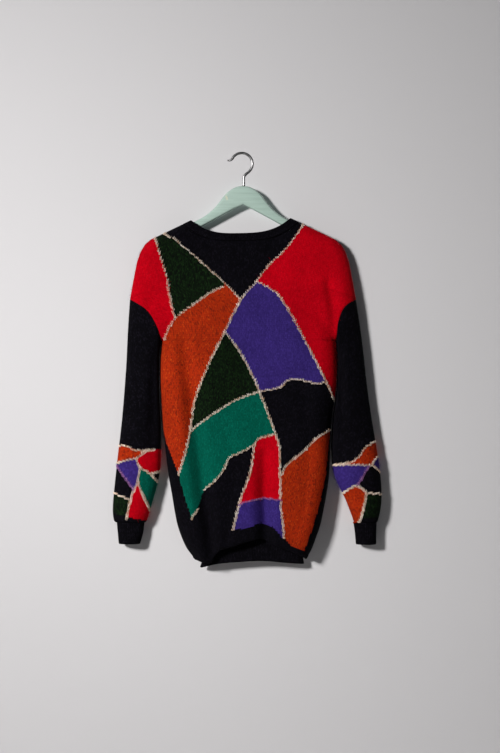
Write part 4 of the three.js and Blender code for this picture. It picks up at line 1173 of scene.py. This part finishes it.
def hook_piece():
    """Round wire swept along its route, thinning to a blunt tip at the lip."""
    line = hook_route()
    paths = np.stack([line[:, 0], np.zeros(len(line)), line[:, 1]], -1)[None]
    to_tip = np.arange(len(line))[::-1]
    radii = WIRE_RADIUS * np.interp(to_tip, TIP_STEPS, TIP_SHARES)
    return strands(paths, radii[None], 20, np.array([[0.0, 1.0, 0.0]]))


# %% Chromed wire
def chrome_material():
    """Chromed steel wire: mirror bright, with fine handling marks that leave it duller and darker in spots."""
    material, tree, surface, place = new_material("chromed_steel_wire", {"Metallic": 1.0})
    # Handling marks are drawn about 3 mm long.
    texture = {"Vector": place, "Scale": 320.0, "Detail": 4.0}
    marks = add_node(tree, "ShaderNodeTexNoise", texture).outputs["Fac"]
    tone = add_node(tree, "ShaderNodeValToRGB", {"Fac": marks}, [(0.35, "#6e6c6b"), (0.6, "#a3a3a6")])
    gloss = add_node(tree, "ShaderNodeMapRange", {"Value": marks, "To Min": 0.2, "To Max": 0.42}).outputs[0]
    bump = add_node(tree, "ShaderNodeBump", {"Height": marks, "Strength": 0.12, "Distance": 0.0002})
    tree.links.new(tone.outputs["Color"], surface.inputs["Base Color"])
    tree.links.new(gloss, surface.inputs["Roughness"])
    tree.links.new(bump.outputs[0], surface.inputs["Normal"])
    return material


points, faces = hook_piece()
hook = make_piece("hanger_hook_wire", points, faces, [chrome_material()], replaces=["hanger_hook"])
hook.visible_shadow = False              # on a wall as near as this one its shadow would only double it

# %% [markdown]


# %% [markdown]
# ## Room and light
# The pullover hangs on a plain pale wall, over a plain pale floor. A soft lamp stands in front, to
# the left and a little above, so that each fold has a lit side and the shadow on the wall falls to
# the right and down. The wall is clear from behind and casts no shadow, so that the back can be
# looked at in the light of the lamp behind it.

# %% Wall and floor
WALL_Y, FLOOR_Z = 0.018, -1.65


def plain_material(name, code, see_through):
    """Matt emulsion paint with a faint roller texture, drawn 4 mm apart; clear from behind if asked."""
    constants = {"Roughness": 0.85, "Specular IOR Level": 0.2, "Base Color": linear(code)}
    material, tree, surface, place = new_material(name, constants)
    texture = {"Vector": place, "Scale": 250.0, "Detail": 2.0}
    roller = add_node(tree, "ShaderNodeTexNoise", texture).outputs["Fac"]
    bump = add_node(tree, "ShaderNodeBump", {"Height": roller, "Strength": 0.15, "Distance": 0.0004})
    tree.links.new(bump.outputs[0], surface.inputs["Normal"])
    if see_through:
        behind = add_node(tree, "ShaderNodeNewGeometry").outputs["Backfacing"]
        clear = add_node(tree, "ShaderNodeBsdfTransparent").outputs[0]
        both = add_node(tree, "ShaderNodeMixShader", {0: behind, 1: surface.outputs[0], 2: clear}).outputs[0]
        output = next(n for n in tree.nodes if n.type == "OUTPUT_MATERIAL")
        tree.links.new(both, output.inputs["Surface"])
    return material


def stage_plane(name, corners, material):
    """One flat quad of the room, which is not part of the object."""
    mesh = bpy.data.meshes.new(name)
    mesh.from_pydata(corners, [], [(0, 1, 2, 3)])
    mesh.materials.append(material)
    plane = bpy.data.objects.new(name, mesh)
    bpy.context.scene.collection.objects.link(plane)
    return plane


wall_corners = [(-4, WALL_Y, FLOOR_Z), (4, WALL_Y, FLOOR_Z), (4, WALL_Y, 2.5), (-4, WALL_Y, 2.5)]
room_wall = stage_plane("wall", wall_corners, plain_material("wall_emulsion", "#c8c7ca", True))
room_wall.visible_shadow = False         # so that the lamp behind it reaches the back of the pullover
floor_corners = [(-6, -6, FLOOR_Z), (6, -6, FLOOR_Z), (6, 6, FLOOR_Z), (-6, 6, FLOOR_Z)]
stage_plane("floor", floor_corners, plain_material("floor_paint", "#d6d5d3", False))

# %% Lamps
LAMPS = [
    # name, place, aim, side, power in watts, spread in degrees, colour
    ("key", (-2.10, -2.75, 0.46), (-0.14, 0.0, -0.58), 0.5, 30, 78, "#fffdfa"),
    ("fill", (1.6, -3.4, 0.6), (0.0, 0.0, -0.5), 2.6, 2.0, 180, "#f1f5ff"),
    ("back", (0.9, 2.6, 0.3), (0.0, 0.0, -0.45), 1.6, 60, 180, "#ffffff"),
]
for name, place, aim, side, power, spread, code in LAMPS:
    lamp = bpy.data.lights.new(name, "AREA")
    lamp.size, lamp.energy, lamp.spread = side, power, math.radians(spread)
    lamp.color = linear(code)[:3]
    holder = bpy.data.objects.new(name, lamp)
    holder.location = place
    x, y, z = np.array(place) - np.array(aim)
    holder.rotation_euler = (math.atan2(math.hypot(x, y), z), 0, math.atan2(x, -y))
    bpy.context.scene.collection.objects.link(holder)

world = bpy.data.worlds.new("room")
world.use_nodes = True
background = world.node_tree.nodes["Background"].inputs
background["Color"].default_value, background["Strength"].default_value = linear("#e9edf2"), 0.04
bpy.context.scene.world = world
bpy.context.scene.view_settings.view_transform = "Standard"
